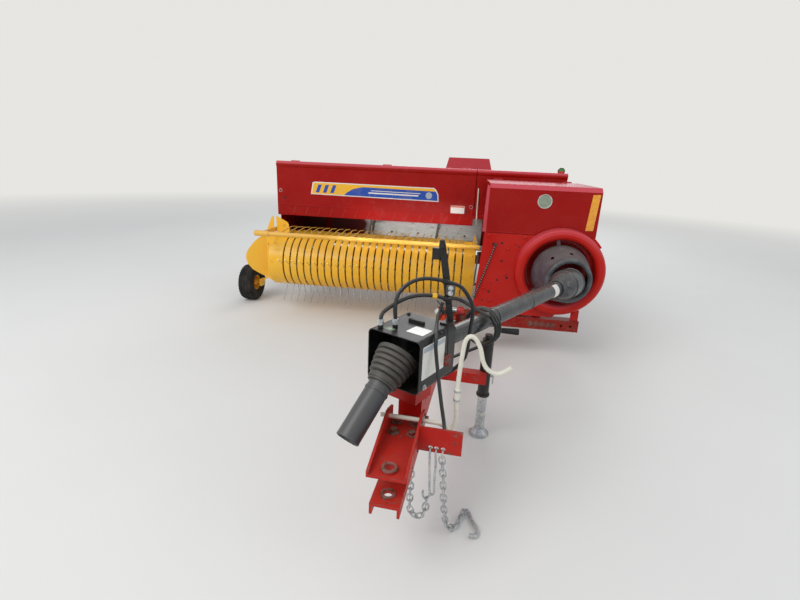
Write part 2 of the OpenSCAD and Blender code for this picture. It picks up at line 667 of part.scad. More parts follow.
module pickup_bands() color("#f2b63c") {
  for (i = [0 : tine_cols - 2]) band(tine_x0 + tine_pitch * (i + 0.5) - band_w / 2, band_w, band_lip, 326);
  band(-1185, tine_x0 - 6 + 1185, band_lip, 70);
  band(tine_x0 + tine_pitch * (tine_cols - 1) + 6, 722 - tine_x0 - tine_pitch * (tine_cols - 1) - 6, band_lip, 70);
}

// Flared side plates at the right-hand end of the pickup
module pickup_flare() color("#f2b63c") {
  xf = pick_xr - 105;
  yf = band_y - 50;
  translate([0, yf, 0]) rotate([90, 0, 0]) linear_extrude(height = skin) polygon([
    [xf, 316], [xf, 748], [xf + 12, 752], [xf + 20, 815], [xf + 56, 905], [xf + 72, 924], [xf + 85, 930],
    [xf + 85, 775], [pick_xr + 4, 775], [pick_xr + 4, 930], [pick_xr + 22, 924], [pick_xr + 110, 880],
    [pick_xr + 124, 864], [pick_xr + 131, 815], [pick_xr + 131, 752], [pick_xr - 16, 752],
    [pick_xr - 16, 725], [pick_xr, 725], [pick_xr, 290], [pick_xr - 35, 285]]);
  translate([xf + 2, yf - 0.1 * skin, 0]) rotate([0, 0, 25]) rotate([90, 0, 0]) linear_extrude(height = 0.8 * skin)
    polygon([[0, 322], [0, 742], [-40, 742], [-112, 684], [-175, 606], [-196, 560], [-199, 520],
      [-186, 468], [-143, 409], [-75, 363]]);
}

// Reel: shaft, spiders, tine bars and sprung tines
module reel() color("#6c6a66") {
  translate([0, reel_y, reel_z]) {
    xcyl(pick_xr - 6, 0, 0, pick_xl - pick_xr + end_t + 12, 20 - run);
    xcyl(pick_xr + 20, 0, 0, pick_xl - pick_xr - 32, 28, 32);
    for (x = [pick_xr + 40, tine_x0 + tine_pitch * 8.5, tine_x0 + tine_pitch * 16.5, pick_xl - 40])
      translate([x, 0, 0]) rotate([0, 90, 0]) linear_extrude(height = 6) difference() {
        circle(r = bar_ring_r + bar_r + 3, $fn = 72);
        for (k = [0 : tine_bars - 1]) rotate(360 / tine_bars * (k + 0.5)) translate([80, 0]) circle(r = 30, $fn = 32);
      }
    for (k = [0 : tine_bars - 1]) rotate([360 / tine_bars * k, 0, 0]) {
      xcyl(pick_xr + 30, 0, bar_ring_r, pick_xl - pick_xr - 60, bar_r, 24);
      for (i = [0 : tine_cols - 1]) {
        x = tine_x0 + tine_pitch * i;
        xcyl(x - 9, 0, bar_ring_r, 18, bar_r + 6, 16);
        rod([x, bar_r + 2, bar_ring_r], [x, bar_r - 4, tip_r - 90], tine_r, 6);
        rod([x, bar_r - 4, tip_r - 91], [x, bar_r + 16, tip_r - 2], tine_r, 6);
      }
    }
  }
}

// Windguard: cross tube, wire fingers and pivot arms
module windguard() color("#e8ad34") difference() {
  union() {
    xcyl(pick_xr - 65, guard_y, guard_z, pick_xl - pick_xr + 105, guard_r, 32);
    xcyl(pick_xr - 70, guard_y, guard_z, 125, guard_r + 5, 32);
    for (i = [0 : tine_cols - 2]) {
      x = tine_x0 + tine_pitch * (i + 0.5);
      rod([x, guard_y, guard_z + guard_r - 3], [x, -180, guard_z + 34], 4, 8);
      rod([x, -181, guard_z + 34], [x, -40, guard_z + 16], 4, 8);
    }
    for (x = [pick_xr - 12, pick_xl + end_t + 4]) {
      xprof(x, 8) hull() {
        translate([guard_y, guard_z]) circle(r = guard_r - 2, $fn = 32);
        translate([guard_hy, guard_hz]) circle(r = 22, $fn = 32);
      }
    }
  }
  xcyl(pick_xr - 14, guard_hy, guard_hz, 12, 10 + run, 48);
  xcyl(pick_xl + end_t + 2, guard_hy, guard_hz, 12, 10 + run, 48);
}

// Tongue with its pivot boss, pedestal and jack arm
module tongue() color("#9c1a1a") {
  difference() {
    union() {
      on_tongue() {
        translate([0, 0, beam_z + 10.5]) cylinder(h = beam_h - 21, r = 46, $fn = 48);
        hull() {
          blk([-tongue_w / 2, -150, 250.5], [tongue_w / 2, -40, 319.5]);
        }
        hull() {
          blk([-tongue_w / 2, -190, 240], [tongue_w / 2, -120, 240 + tongue_h]);
          blk([-tongue_w / 2, -1300, 335], [tongue_w / 2, -1250, 335 + tongue_h]);
        }
        blk([-tongue_w / 2, -tongue_l + 335, 335], [tongue_w / 2, -1299, 335 + tongue_h]);
        blk([-tongue_w / 2, -tongue_l + 375, 335 + tongue_h - e], [tongue_w / 2, -tongue_l + 480, 520]);
        bar([0, -1150, 375], [tongue_w / 2 + 265, -1150, 375], 60, 60);
      }
      translate([box_c[0], box_c[1], 519]) rotate([0, 0, box_a]) translate([-70, -60, 0])
        cube([140, 120, box_z - 519]);
    }
    on_tongue() translate([0, 0, 200]) cylinder(h = 200, r = 20 + run, $fn = 48);
    translate([jack_p[0], jack_p[1], 100]) cylinder(h = 600, r = jack_r, $fn = 48);
  }
}

// Hitch clevis: upper channel with rising ears, lower channel, side plate
module hitch() color("#b3201f") on_tongue() difference() {
  union() {
    zt = hitch_z;
    zl = hitch_z - hitch_t - hitch_gap;
    blk([-74, -tongue_l - 42, zt - hitch_t], [74, -tongue_l + 335, zt]);
    for (s = [-1, 1]) {
      x = s < 0 ? -74 : 64;
      xprof(x, 10) polygon([[-tongue_l - 42, zt - 1], [-tongue_l + 335, zt - 1], [-tongue_l + 335, zt + 60],
        [-tongue_l + 265, zt + 82], [-tongue_l + 215, zt + 78], [-tongue_l - 42, zt + 14]]);
    }
    blk([-55, -tongue_l - 60, zl - hitch_t], [55, -tongue_l + 335, zl]);
    for (s = [-1, 1]) {
      x = s < 0 ? -55 : 45;
      blk([x, -tongue_l - 60, zl - hitch_t - 34], [x + 10, -tongue_l + 335, zl - hitch_t + e]);
    }
    blk([-55, -tongue_l + 195, zl - e], [55, -tongue_l + 335, zt - hitch_t + e]);
    translate([0, -tongue_l, zt - e]) cylinder(h = 8, r = hitch_r + 12, $fn = 48);
    blk([73, -tongue_l + 186, zt - 32], [240, -tongue_l + 194, zt + 72]);
    translate([0, -tongue_l, zl - hitch_t]) cylinder(h = hitch_t, r = 50, $fn = 48);
  }
  translate([0, -tongue_l, 100]) cylinder(h = 500, r = hitch_r, $fn = 48);
  xcyl(-100, rod_y, hitch_z + 50, 200, 9 + run, 32);
  for (x = chain_x) translate([x, -tongue_l + 180, hitch_z - 14]) rotate([-90, 0, 0])
    cylinder(h = 20, r = 9, $fn = 32);
  xcyl(40, -tongue_l + 190, flange_z, 20, 9, 32);
}

// Bearing shield: open-fronted black box with its bearing plate
module bearing_shield() color("#1c1c1e") {
  rod([box_c[0], box_c[1], 716], fs_p, 16, 32);
  translate(fs_p) sphere(r = front_ball_r, $fn = 48);
  shield_box();
}
module shield_box() on_box() {
  union() {
    difference() {
      xz_round(box_w, box_d, box_h, 22, 0);
      translate([0, -1, 0]) xz_round(box_w - 8, box_d + 4, box_h - 8, 18, 4);
    }
    blk([-box_w / 2 + 3, 20, box_z + 3], [box_w / 2 - 3, 30, box_z + box_h - 3]);
    ycyl(0, -10, shaft_z, 31, 50, 48);
    ycyl(0, 29, shaft_z, 8, 17, 32);
  }
}
module xz_round(w, d, h, r, z0) {
  translate([0, d / 2, box_z + z0]) rotate([90, 0, 0]) linear_extrude(height = d)
    translate([0, h / 2]) square_r(w, h, r);
}
module square_r(w, h, r) {
  for (sx = [-1, 1], sy = [-1, 1]) translate([sx * (w / 2 - r), sy * (h / 2 - r)]) circle(r = r, $fn = 32);
  square([w - 2 * r, h], center = true);
  square([w, h - 2 * r], center = true);
}

// Hose post, leaning off its foot on the bearing shield, and the hoses' seats
module hose_post() color("#1c1c1e") {
  zt = 335 + tongue_h;
  translate([box_c[0], box_c[1], 0]) {
    for (p = [[-70, -43], [-127, -61]]) translate([p[0], p[1], box_z + box_h]) cylinder(h = 17.5, r = 11, $fn = 24);
    for (p = [[66, 211], [58, 436]]) translate([p[0], p[1], zt]) cylinder(h = 17.5, r = 11, $fn = 24);
    bar([150, 88, box_z + box_h + 6], [93, 88, 1175], 26, 26);
    rod([93, 88, 1174], [91, 88, 1190], 11, 24);
    blk([54, 80, 1108], [86, 96, 1156]);
  }
  on_box() blk([70, 95, box_z + box_h], [112, 161, box_z + box_h + 8]);
}

// Hydraulic hoses clipped to the post
hose_a = [[-70, -43, 858], [-70, -43, 866], [-70, -43, 880], [-74, -34, 925], [-67, -14, 975], [-27, 11, 1018],
  [28, 41, 1034], [88, 64, 1028], [115, 66, 1023], [148, 68, 1016], [188, 81, 996], [228, 111, 935],
  [243, 126, 880], [238, 131, 800], [228, 161, 650], [158, 196, 545], [88, 209, 508], [66, 211, 485],
  [66, 211, 474], [66, 211, 463]];
hose_b1 = [[-127, -61, 858], [-127, -61, 867], [-127, -61, 882], [-120, -44, 905], [-77, -14, 935], [-27, 21, 955],
  [28, 46, 962], [88, 63, 957], [124, 66, 948], [163, 71, 952], [204, 131, 920], [274, 261, 844],
  [331, 391, 777]];
loop_c = [306, 466, 694];
loop_n = [0.836, -0.549, 0];
loop_u = [0.549, 0.836, 0];
hose_b2 = [for (k = [0 : 19]) let (f = k * 45 + 22) loop_c + 95 * (cos(f) * [0, 0, 1] + sin(f) * loop_n)
  + 20 * (f / 360 - 1) * loop_u];
hose_b3 = [[228, 461, 540], [128, 449, 492], [68, 437, 486], [58, 436, 480], [58, 436, 472], [58, 436, 463]];
hose_e = [[112, 66, 932], [106, 61, 905], [98, 49, 878], [96, 11, 857], [98, -49, 849],
  [100, -87, 848.5], [102, -104, 829], [103, -115, 800], [111, -129, 751], [122, -149, 696],
  [133, -169, 641], [145, -189, 587], [158, -209, 534], [163, -225, 508]];
function unit(v) = v / norm(v);
function cr(p, i, t) = let (n = len(p), a = p[max(i - 1, 0)], b = p[i], c = p[min(i + 1, n - 1)],
  d = p[min(i + 2, n - 1)]) 0.5 * ((2 * b) + (c - a) * t + (2 * a - 5 * b + 4 * c - d) * t * t
  + (3 * b - a - 3 * c + d) * t * t * t);
function curve(p, k) = concat([for (i = [0 : len(p) - 2], j = [0 : k - 1]) cr(p, i, j / k)], [p[len(p) - 1]]);
function tang(q, i) = unit(q[min(i + 1, len(q) - 1)] - q[max(i - 1, 0)]);
function frames(q, i = 0, u = undef) = i >= len(q) ? [] :
  let (t = tang(q, i), s = u == undef ? (abs(t[2]) < 0.9 ? [0, 0, 1] : [1, 0, 0]) : u,
       v = unit(s - (s * t) * t)) concat([[v, cross(t, v)]], frames(q, i + 1, v));
module hose(p, r, k, n = 8) {
  q = curve(p, k);
  f = frames(q);
  pts = [for (i = [0 : len(q) - 1], j = [0 : n - 1])
    q[i] + r * (cos(360 * j / n) * f[i][0] + sin(360 * j / n) * f[i][1])];
  faces = concat([[for (j = [0 : n - 1]) j]],
    [for (i = [0 : len(q) - 2], j = [0 : n - 1]) [i * n + j, (i + 1) * n + j, (i + 1) * n + (j + 1) % n,
      i * n + (j + 1) % n]],
    [[for (j = [n - 1 : -1 : 0]) (len(q) - 1) * n + j]]);
  polyhedron(points = pts, faces = faces, convexity = 6);
}
module hoses() color("#141415") translate([box_c[0], box_c[1], 0]) {
  hose(hose_a, 8.5, 3);
  hose(concat(hose_b1, hose_b2, hose_b3), 8.5, 2);
  hose(hose_e, 7.5, 3);
}

// Hanging front half of the driveline, in its guard
fs_p = [box_c[0] + box_d / 2 * sin(box_a), box_c[1] - box_d / 2 * cos(box_a) - 4, 715];
fs_d = unit([-122, -220, -205]);
module shaft_front() color("#3a3d40") translate(fs_p)
  rotate([0, acos(fs_d[2]), atan2(fs_d[1], fs_d[0])]) difference() {
    union() {
      difference() {
        translate([0, 0, 95]) cylinder(h = front_shaft_l - 95, r = guard_tube_r - 1, $fn = 64);
        translate([0, 0, 105]) cylinder(h = front_shaft_l, r = guard_tube_r - 5, $fn = 64);
      }
      translate([0, 0, 100]) cylinder(h = front_shaft_l - 130, r = 20, $fn = 32);
      translate([0, 0, front_shaft_l - 110]) cylinder(h = 90, r = 31, $fn = 48);
      translate([0, 0, front_shaft_l - 100]) cylinder(h = 8, r = guard_tube_r - 4, $fn = 48);
    }
    translate([0, 0, front_shaft_l - 90]) cylinder(h = 100, r = 17.5, $fn = 48);
  }
module bellows() color("#4a4b4a") translate(fs_p)
  rotate([0, acos(fs_d[2]), atan2(fs_d[1], fs_d[0])]) difference() {
    bellows_body();
    difference() {
      translate([0, 0, -60]) cylinder(h = 85, r = 66, $fn = 64);
      translate([0, 0, 2]) cylinder(h = 40, r = 40, $fn = 48);
    }
    sphere(r = front_ball_r + 2 * run, $fn = 48);
  }
module bellows_body() rotate_extrude($fn = 64)
    polygon([[0, -50], [84, -50], [88, -46], [88, -30], [80, -26], [86, -20], [86, -8], [77, -4],
      [82, 2], [82, 14], [73, 18], [77, 24], [77, 36], [68, 40], [72, 46], [72, 58], [60, 64], [58, 94.7],
      [0, 94.7]]);

// Rear half of the driveline: outer guard with its cone, inner tube that slides
module shaft_rear() color("#1f2022") on_drive() {
  difference() {
    ycyl(0, -50, 0, 48, inner_tube_r + 1, 48);
    sphere(r = ball_r + 2 * run, $fn = 48);
  }
  shaft_guard();
}
module shaft_guard() difference() {
  union() {
    ycyl(0, -1050, 0, 1000, guard_tube_r, 48);
    rotate([-90, 0, 0]) rotate_extrude($fn = 72) polygon([[0, -215], [56, -215], [62, -208], [62, -180],
      [70, -170], [82, -145], [93, -112], [97, -80], [102, -76], [102, -62], [101, 0], [98, 40], [0, 40]]);
  }
  ycyl(0, -1060, 0, 1100, inner_tube_r + 0.5, 48);
  rotate([-90, 0, 0]) rotate_extrude($fn = 72) polygon([[0, -140], [inner_tube_r + 0.5, -140], [74, -140],
    [89, -110], [96, -60], [97, 0], [94, 41], [0, 41]]);
}
module shaft_slide() color("#26272a") on_drive()
  ycyl(0, -(drv_l - 50), 0, 760, inner_tube_r, 48);

// Parking jack
module jack_body() color("#1c1c1e") translate([jack_p[0], jack_p[1], 0]) {
  difference() {
    translate([0, 0, 250]) cylinder(h = jack_top - 250, r = jack_r - 0.05, $fn = 48);
    translate([0, 0, 249]) cylinder(h = jack_top - 250 - 9, r = jack_r - 5, $fn = 48);
  }
  translate([0, 0, jack_top - e]) cylinder(h = 26, r = 20, $fn = 32);
  rod([0, 0, jack_top + 14], [50, 0, jack_top + 14], 8, 16);
  rod([50, 0, jack_top + 14], [50, 0, jack_top + 55], 7, 16);
  rod([50, 0, jack_top + 55], [150, 0, jack_top + 55], 13, 24);
}
module jack_leg() color("#a9adb0") translate([jack_p[0], jack_p[1], 0]) {
  cylinder(h = 360, r = jack_r - 5.3, $fn = 48);
  translate([0, 0, 0]) cylinder(h = 12, r = 55, $fn = 48);
}

// Bent rod that holds the driveline up when it is unhitched
rod_p = on_t(0, rod_y);
rod_path = [[133, -9.6, 500], [154, -2.8, 488], [170, 9.2, 468], [188, 15.2, 467], [200, 15.2, 488],
  [204, 15.2, 525], [201, 15.2, 572], [200.5, 15.2, 653], [203, 15.2, 733], [210, 15.2, 824],
  [217, 15.2, 857], [233, 15.2, 871], [253, 15.2, 861], [273, 15.2, 824], [287, 15.2, 774],
  [308, 15.2, 741], [343, 15.2, 727], [371, 15.2, 738], [396, 15.2, 760]];
module support_rod() color("#d8cfb4") {
  on_tongue() xcyl(-100, rod_y, hitch_z + 50, 250, 9, 32);
  translate([rod_p[0], rod_p[1], 0]) hose(rod_path, 9, 3, 10);
}

// Safety chains, links of bent round wire threaded along their routes, and their hooks.
// Routes are in the tongue's frame, Y from the hitch hole.
chain_w = 3.7;
chain_l = 38.4;
link_e = chain_l / 2;
web_z = hitch_z - 14 - 9 + 2.6 + chain_w;
route_a = [[chain_x[2], 190, web_z - 5], [chain_x[2], 190, 385], [172, 190, 355], [178, 190, 310],
  [184, 190, 240], [190, 190, 175], [196, 196, 120], [203, 210, 70], [216, 229, 34], [233, 247, 19],
  [248, 274, 17], [258, 310, 17], [266, 345, 17], [270, 359, 17]];
route_b = [[118, 190, 195], [118, 190, 165], [114, 189, 128], [100, 188, 104], [80, 188, 96], [61, 188, 108],
  [51, 189, 140], [50, 190, 190], [50, 190, 250], [50, 190, flange_z - 9 + 2.6 + chain_w - 5]];
slip_hook = [[281, 368, 14], [293, 354, 13], [306, 318, 13], [325, 287, 13], [336, 262, 13], [333, 240, 13],
  [319, 229, 13], [303, 231, 13]];
function ends(p) = [for (i = [0 : len(p) - 2]) norm(p[i + 1] - p[i])];
function total(d, i = 0) = i >= len(d) ? 0 : d[i] + total(d, i + 1);
function at(p, s, i = 0) = let (d = norm(p[i + 1] - p[i]))
  s <= d || i == len(p) - 2 ? p[i] + s * unit(p[i + 1] - p[i]) : at(p, s - d, i + 1);
module link(c, u, v) {
  t = cross(u, v);
  r = 11.5;
  q = concat([for (i = [0 : 4]) [r * cos(45 * i), chain_l / 2 - r + r * sin(45 * i)]],
    [for (i = [0 : 4]) [-r * cos(45 * i), r - chain_l / 2 - r * sin(45 * i)]]);
  m = len(q);
  pts = [for (i = [0 : m - 1], j = [0 : 4])
    let (s = unit(q[(i + 1) % m] - q[(i + m - 1) % m]), o = q[i] + chain_w * cos(72 * j) * [s[1], -s[0]])
      c + o[0] * u + chain_w * sin(72 * j) * v + o[1] * t];
  polyhedron(points = pts, convexity = 6, faces = [for (i = [0 : m - 1], j = [0 : 4])
    [i * 5 + j, ((i + 1) % m) * 5 + j, ((i + 1) % m) * 5 + (j + 1) % 5, i * 5 + (j + 1) % 5]]);
}
function rolls(t, u, i = 0) = i >= len(t) ? [] :
  let (v = unit(u - (u * t[i]) * t[i])) concat([v], rolls(t, v, i + 1));
module chain(p, n) {
  q = curve(p, 6);
  c = [for (i = [0 : n]) at(q, total(ends(q)) / n * i)];
  t = [for (i = [0 : n - 1]) unit(c[i + 1] - c[i])];
  v = rolls(t, [1, 0, 0]);
  for (i = [0 : n - 1]) {
    m = (c[i] + c[i + 1]) / 2;
    w = cross(t[i], v[i]);
    if (i % 2 == 0) link(m, w, -v[i]); else link(m, v[i], w);
  }
}
module safety_chain() color("#a9adb0") on_tongue() translate([0, -tongue_l, 0]) {
  chain(route_a, 19);
  chain(route_b, 12);
  for (x = [chain_x[0], chain_x[1]]) link([x, 190, web_z - link_e], [0, -1, 0], [1, 0, 0]);
  z = web_z - 2 * link_e;
  hose([[120, 190, z], [122, 190, z - 60], [128, 190, 235], [129, 190, 212], [123, 190, 197], [114, 190, 192],
    [105, 190, 198], [101, 190, 214], [103, 190, 228]], 4.5, 3);
  hose([[143, 190, z], [145, 190, z - 50], [144, 190, 300], [146, 190, 250], [147, 190, 228], [141, 190, 214],
    [133, 190, 220]], 4.5, 3);
  hose([[269, 360, 17], [275, 369, 16], [286, 365, 14]], 5, 3);
  hose(slip_hook, 9, 3);
}

// Needles below the case, curved about their pivot
module needles() color("#7a7c80") {
  yoke_a = need_tip - need_arc;
  for (s = [-1, 1]) {
    x = case_x + s * twine_gap / 2;
    translate([x - 8, need_py, need_pz]) rotate([90, 0, 90]) rotate([0, 0, yoke_a])
      rotate_extrude(angle = need_arc, $fn = 180) translate([need_R - 15, 0]) square([30, 16]);
  }
  yy = need_py + need_R * cos(yoke_a);
  zz = need_pz + need_R * sin(yoke_a);
  xcyl(need_xr, yy, zz, need_xl + need_t - need_xr, 16, 32);
  difference() {
    for (x = [need_xr, need_xl]) xprof(x, need_t) hull() {
      translate([yy, zz]) circle(r = 18, $fn = 32);
      translate([need_py, need_pz]) circle(r = 20, $fn = 32);
    }
    xcyl(need_xr - 1, need_py, need_pz, need_xl - need_xr + need_t + 2, 12 + run, 48);
  }
}

// Plunger in the case, slotted for the needles
module plunger() color("#6d6f72") difference() {
  union() {
    blk([case_x - case_w / 2 + 12, plunger_y, case_z + 0.3], [case_x + case_w / 2 - 12, plunger_y + 290, case_top - 8]);
  }
  for (s = [-1, 1]) blk([case_x + s * twine_gap / 2 - 20, plunger_y + 150, case_z - 1],
    [case_x + s * twine_gap / 2 + 20, plunger_y + 300, case_top + 1]);
  blk([case_x - 150, plunger_y - 1, case_z + 60], [case_x + 150, plunger_y + 110, case_top - 60]);
}

// Bale chute
module chute() color("#9c1a1a") {
  y0 = chute_hy + 8;
  zc = chute_hz - 10;
  for (x = [case_xr + 55, case_x - 15, case_xl - 85])
    bar([x + 15, y0 + 6, zc], [x + 15, y0 + chute_l, zc - 50], 26, 20);
  for (d = [24, chute_l / 2, chute_l - 34]) blk([case_xr + 12, y0 + d, zc - 50 * d / chute_l - 14],
    [case_xl - 12, y0 + d + 22, zc - 50 * d / chute_l + 6]);
  for (x = [case_xr + 12, case_xl - 24]) xprof(x, 12)
    polygon([[y0, zc - 12], [y0 + chute_l, zc - 62], [y0 + chute_l, zc - 20], [y0 + 300, zc + 30], [y0, zc + 10]]);
  for (x = [case_xr + 55, case_xl - 85]) {
    knuckle(x, chute_hy, chute_hz, 30, 14, 8 + run);
    blk([x, chute_hy + 8.5, zc - 5], [x + 30, y0 + 36, zc + 12]);
  }
}

frame();
bale_case();
feeder_pan();
front_shield();
shields();
gearbox();
flywheel_guard();
twine_box();
knotters();
tension_unit();
feeder_drive();
tyre_left();
rim_left();
tyre_right();
rim_right();
tyre_gauge();
rim_gauge();
pickup_frame();
pickup_bands();
pickup_flare();
reel();
windguard();
feeder_rotor(rotor_x[0]);  // feeder_rotor_left
feeder_rotor(rotor_x[1]);  // feeder_rotor_right
flywheel();
tongue();
hitch();
bearing_shield();
hose_post();
hoses();
bellows();
shaft_front();
shaft_rear();
shaft_slide();
jack_body();
jack_leg();
support_rod();
safety_chain();
panel_front();
hood_front();
knotter_cover();
twine_lid();
chute();
needles();
plunger();
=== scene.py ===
# Towed square baler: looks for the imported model, all in metres in the part's own frame.
import bpy, bmesh, math
from mathutils import Matrix, Vector


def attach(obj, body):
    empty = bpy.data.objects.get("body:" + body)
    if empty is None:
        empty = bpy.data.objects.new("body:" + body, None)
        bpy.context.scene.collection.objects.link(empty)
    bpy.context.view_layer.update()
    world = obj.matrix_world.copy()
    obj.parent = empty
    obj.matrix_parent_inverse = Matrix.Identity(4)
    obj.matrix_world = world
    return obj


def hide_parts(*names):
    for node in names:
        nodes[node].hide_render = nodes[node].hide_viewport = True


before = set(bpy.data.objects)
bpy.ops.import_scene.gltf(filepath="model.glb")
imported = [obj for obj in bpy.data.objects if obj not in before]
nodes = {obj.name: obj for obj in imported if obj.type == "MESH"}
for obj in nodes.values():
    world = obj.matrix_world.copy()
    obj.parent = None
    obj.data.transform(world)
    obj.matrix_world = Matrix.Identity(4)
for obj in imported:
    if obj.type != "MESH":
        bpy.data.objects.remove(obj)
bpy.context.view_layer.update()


def deselectAll():
    bpy.ops.object.select_all(action="DESELECT")


# Camera: where the photographer stood, before the hitch and a little to the baler's left
viewPoint = {
    "place": (0.575, -4.250, 1.500),
    "right": (0.98929, 0.14009, 0.04108),
    "up": (-0.08098, 0.29246, 0.95284),
    "back": (0.12147, -0.94596, 0.30067),
    "lens": 20.25, "sensor": 36,  # mm
    "near": 0.02, "far": 120,
}


def addCamera():
    deselectAll()
    bpy.ops.object.camera_add(location=viewPoint["place"])
    camera = bpy.context.object
    camera.name = "viewCamera"
    turn = Matrix((viewPoint["right"], viewPoint["up"], viewPoint["back"])).transposed()
    camera.matrix_world = Matrix.Translation(viewPoint["place"]) @ turn.to_4x4()
    camera.data.lens, camera.data.sensor_width = viewPoint["lens"], viewPoint["sensor"]
    camera.data.clip_start, camera.data.clip_end = viewPoint["near"], viewPoint["far"]
    bpy.context.scene.camera = camera


addCamera()
print("camera placed")

# Materials, each under its own name
finishes = {}


def hexColour(text):  # sRGB hex to linear
    values = [int(text[i:i + 2], 16) / 255 for i in (1, 3, 5)]
    return [v / 12.92 if v <= 0.04045 else ((v + 0.055) / 1.055) ** 2.4 for v in values] + [1]


def addNode(tree, kind, sockets={}, out=0, **settings):  # gives back one output of the new node
    node = tree.nodes.new("ShaderNode" + kind)
    for name, value in settings.items():
        setattr(node, name, value)
    for name, value in sockets.items():
        if isinstance(value, bpy.types.NodeSocket):
            tree.links.new(value, node.inputs[name])
        else:
            node.inputs[name].default_value = value
    return node.outputs[out] if len(node.outputs) else None


def newMaterial(name):  # its node tree, and the place on the part that its patterns read
    material = finishes[name] = bpy.data.materials.new(name)
    material.use_nodes = True
    tree = material.node_tree
    tree.nodes.clear()
    return tree, addNode(tree, "TexCoord", out="Object")


def blotches(place, size, detail=4.0, rough=0.55):  # sockets of a noise whose blotches are about size metres wide
    return {"Vector": place, "Scale": 0.6 / size, "Detail": detail, "Roughness": rough}


def surface(tree, sockets, height=None, strength=0.0, distance=0.0):  # the shader, with relief where a height is given
    if height:
        sockets["Normal"] = addNode(tree, "Bump", {"Height": height, "Strength": strength, "Distance": distance})
    addNode(tree, "OutputMaterial", {"Surface": addNode(tree, "BsdfPrincipled", sockets)})


# upFacing also masks the painted highlight on faces that look up, in sprayedEnamel
def upFacing(tree):  # 1 on faces that look up, where dust settles
    return addNode(tree, "SeparateXYZ", {0: addNode(tree, "NewGeometry", out="Normal")}, "Z")


def edgeMask(tree, radius):  # 1 near sharp edges: how far the rounded normal leaves the true one
    rounded = addNode(tree, "Bevel", {"Radius": radius}, samples=3)
    sharp = addNode(tree, "NewGeometry", out="Normal")
    likeness = addNode(tree, "VectorMath", {0: rounded, 1: sharp}, "Value", operation="DOT_PRODUCT")
    return addNode(tree, "MapRange", {"Value": likeness, "From Min": 0.995, "From Max": 0.85})


# highlightPink is the pale pink of the painted highlight on faces that look up
weather = {"dust": "#a39684", "mud": "#6d5a45", "steel": "#6f655c", "rust": "#5f3521", "highlightPink": "#cf5560",
           "mudTop": 0.5, "mudFull": 0.1, "edge": 0.004}  # heights above the ground, and how far in an edge chips


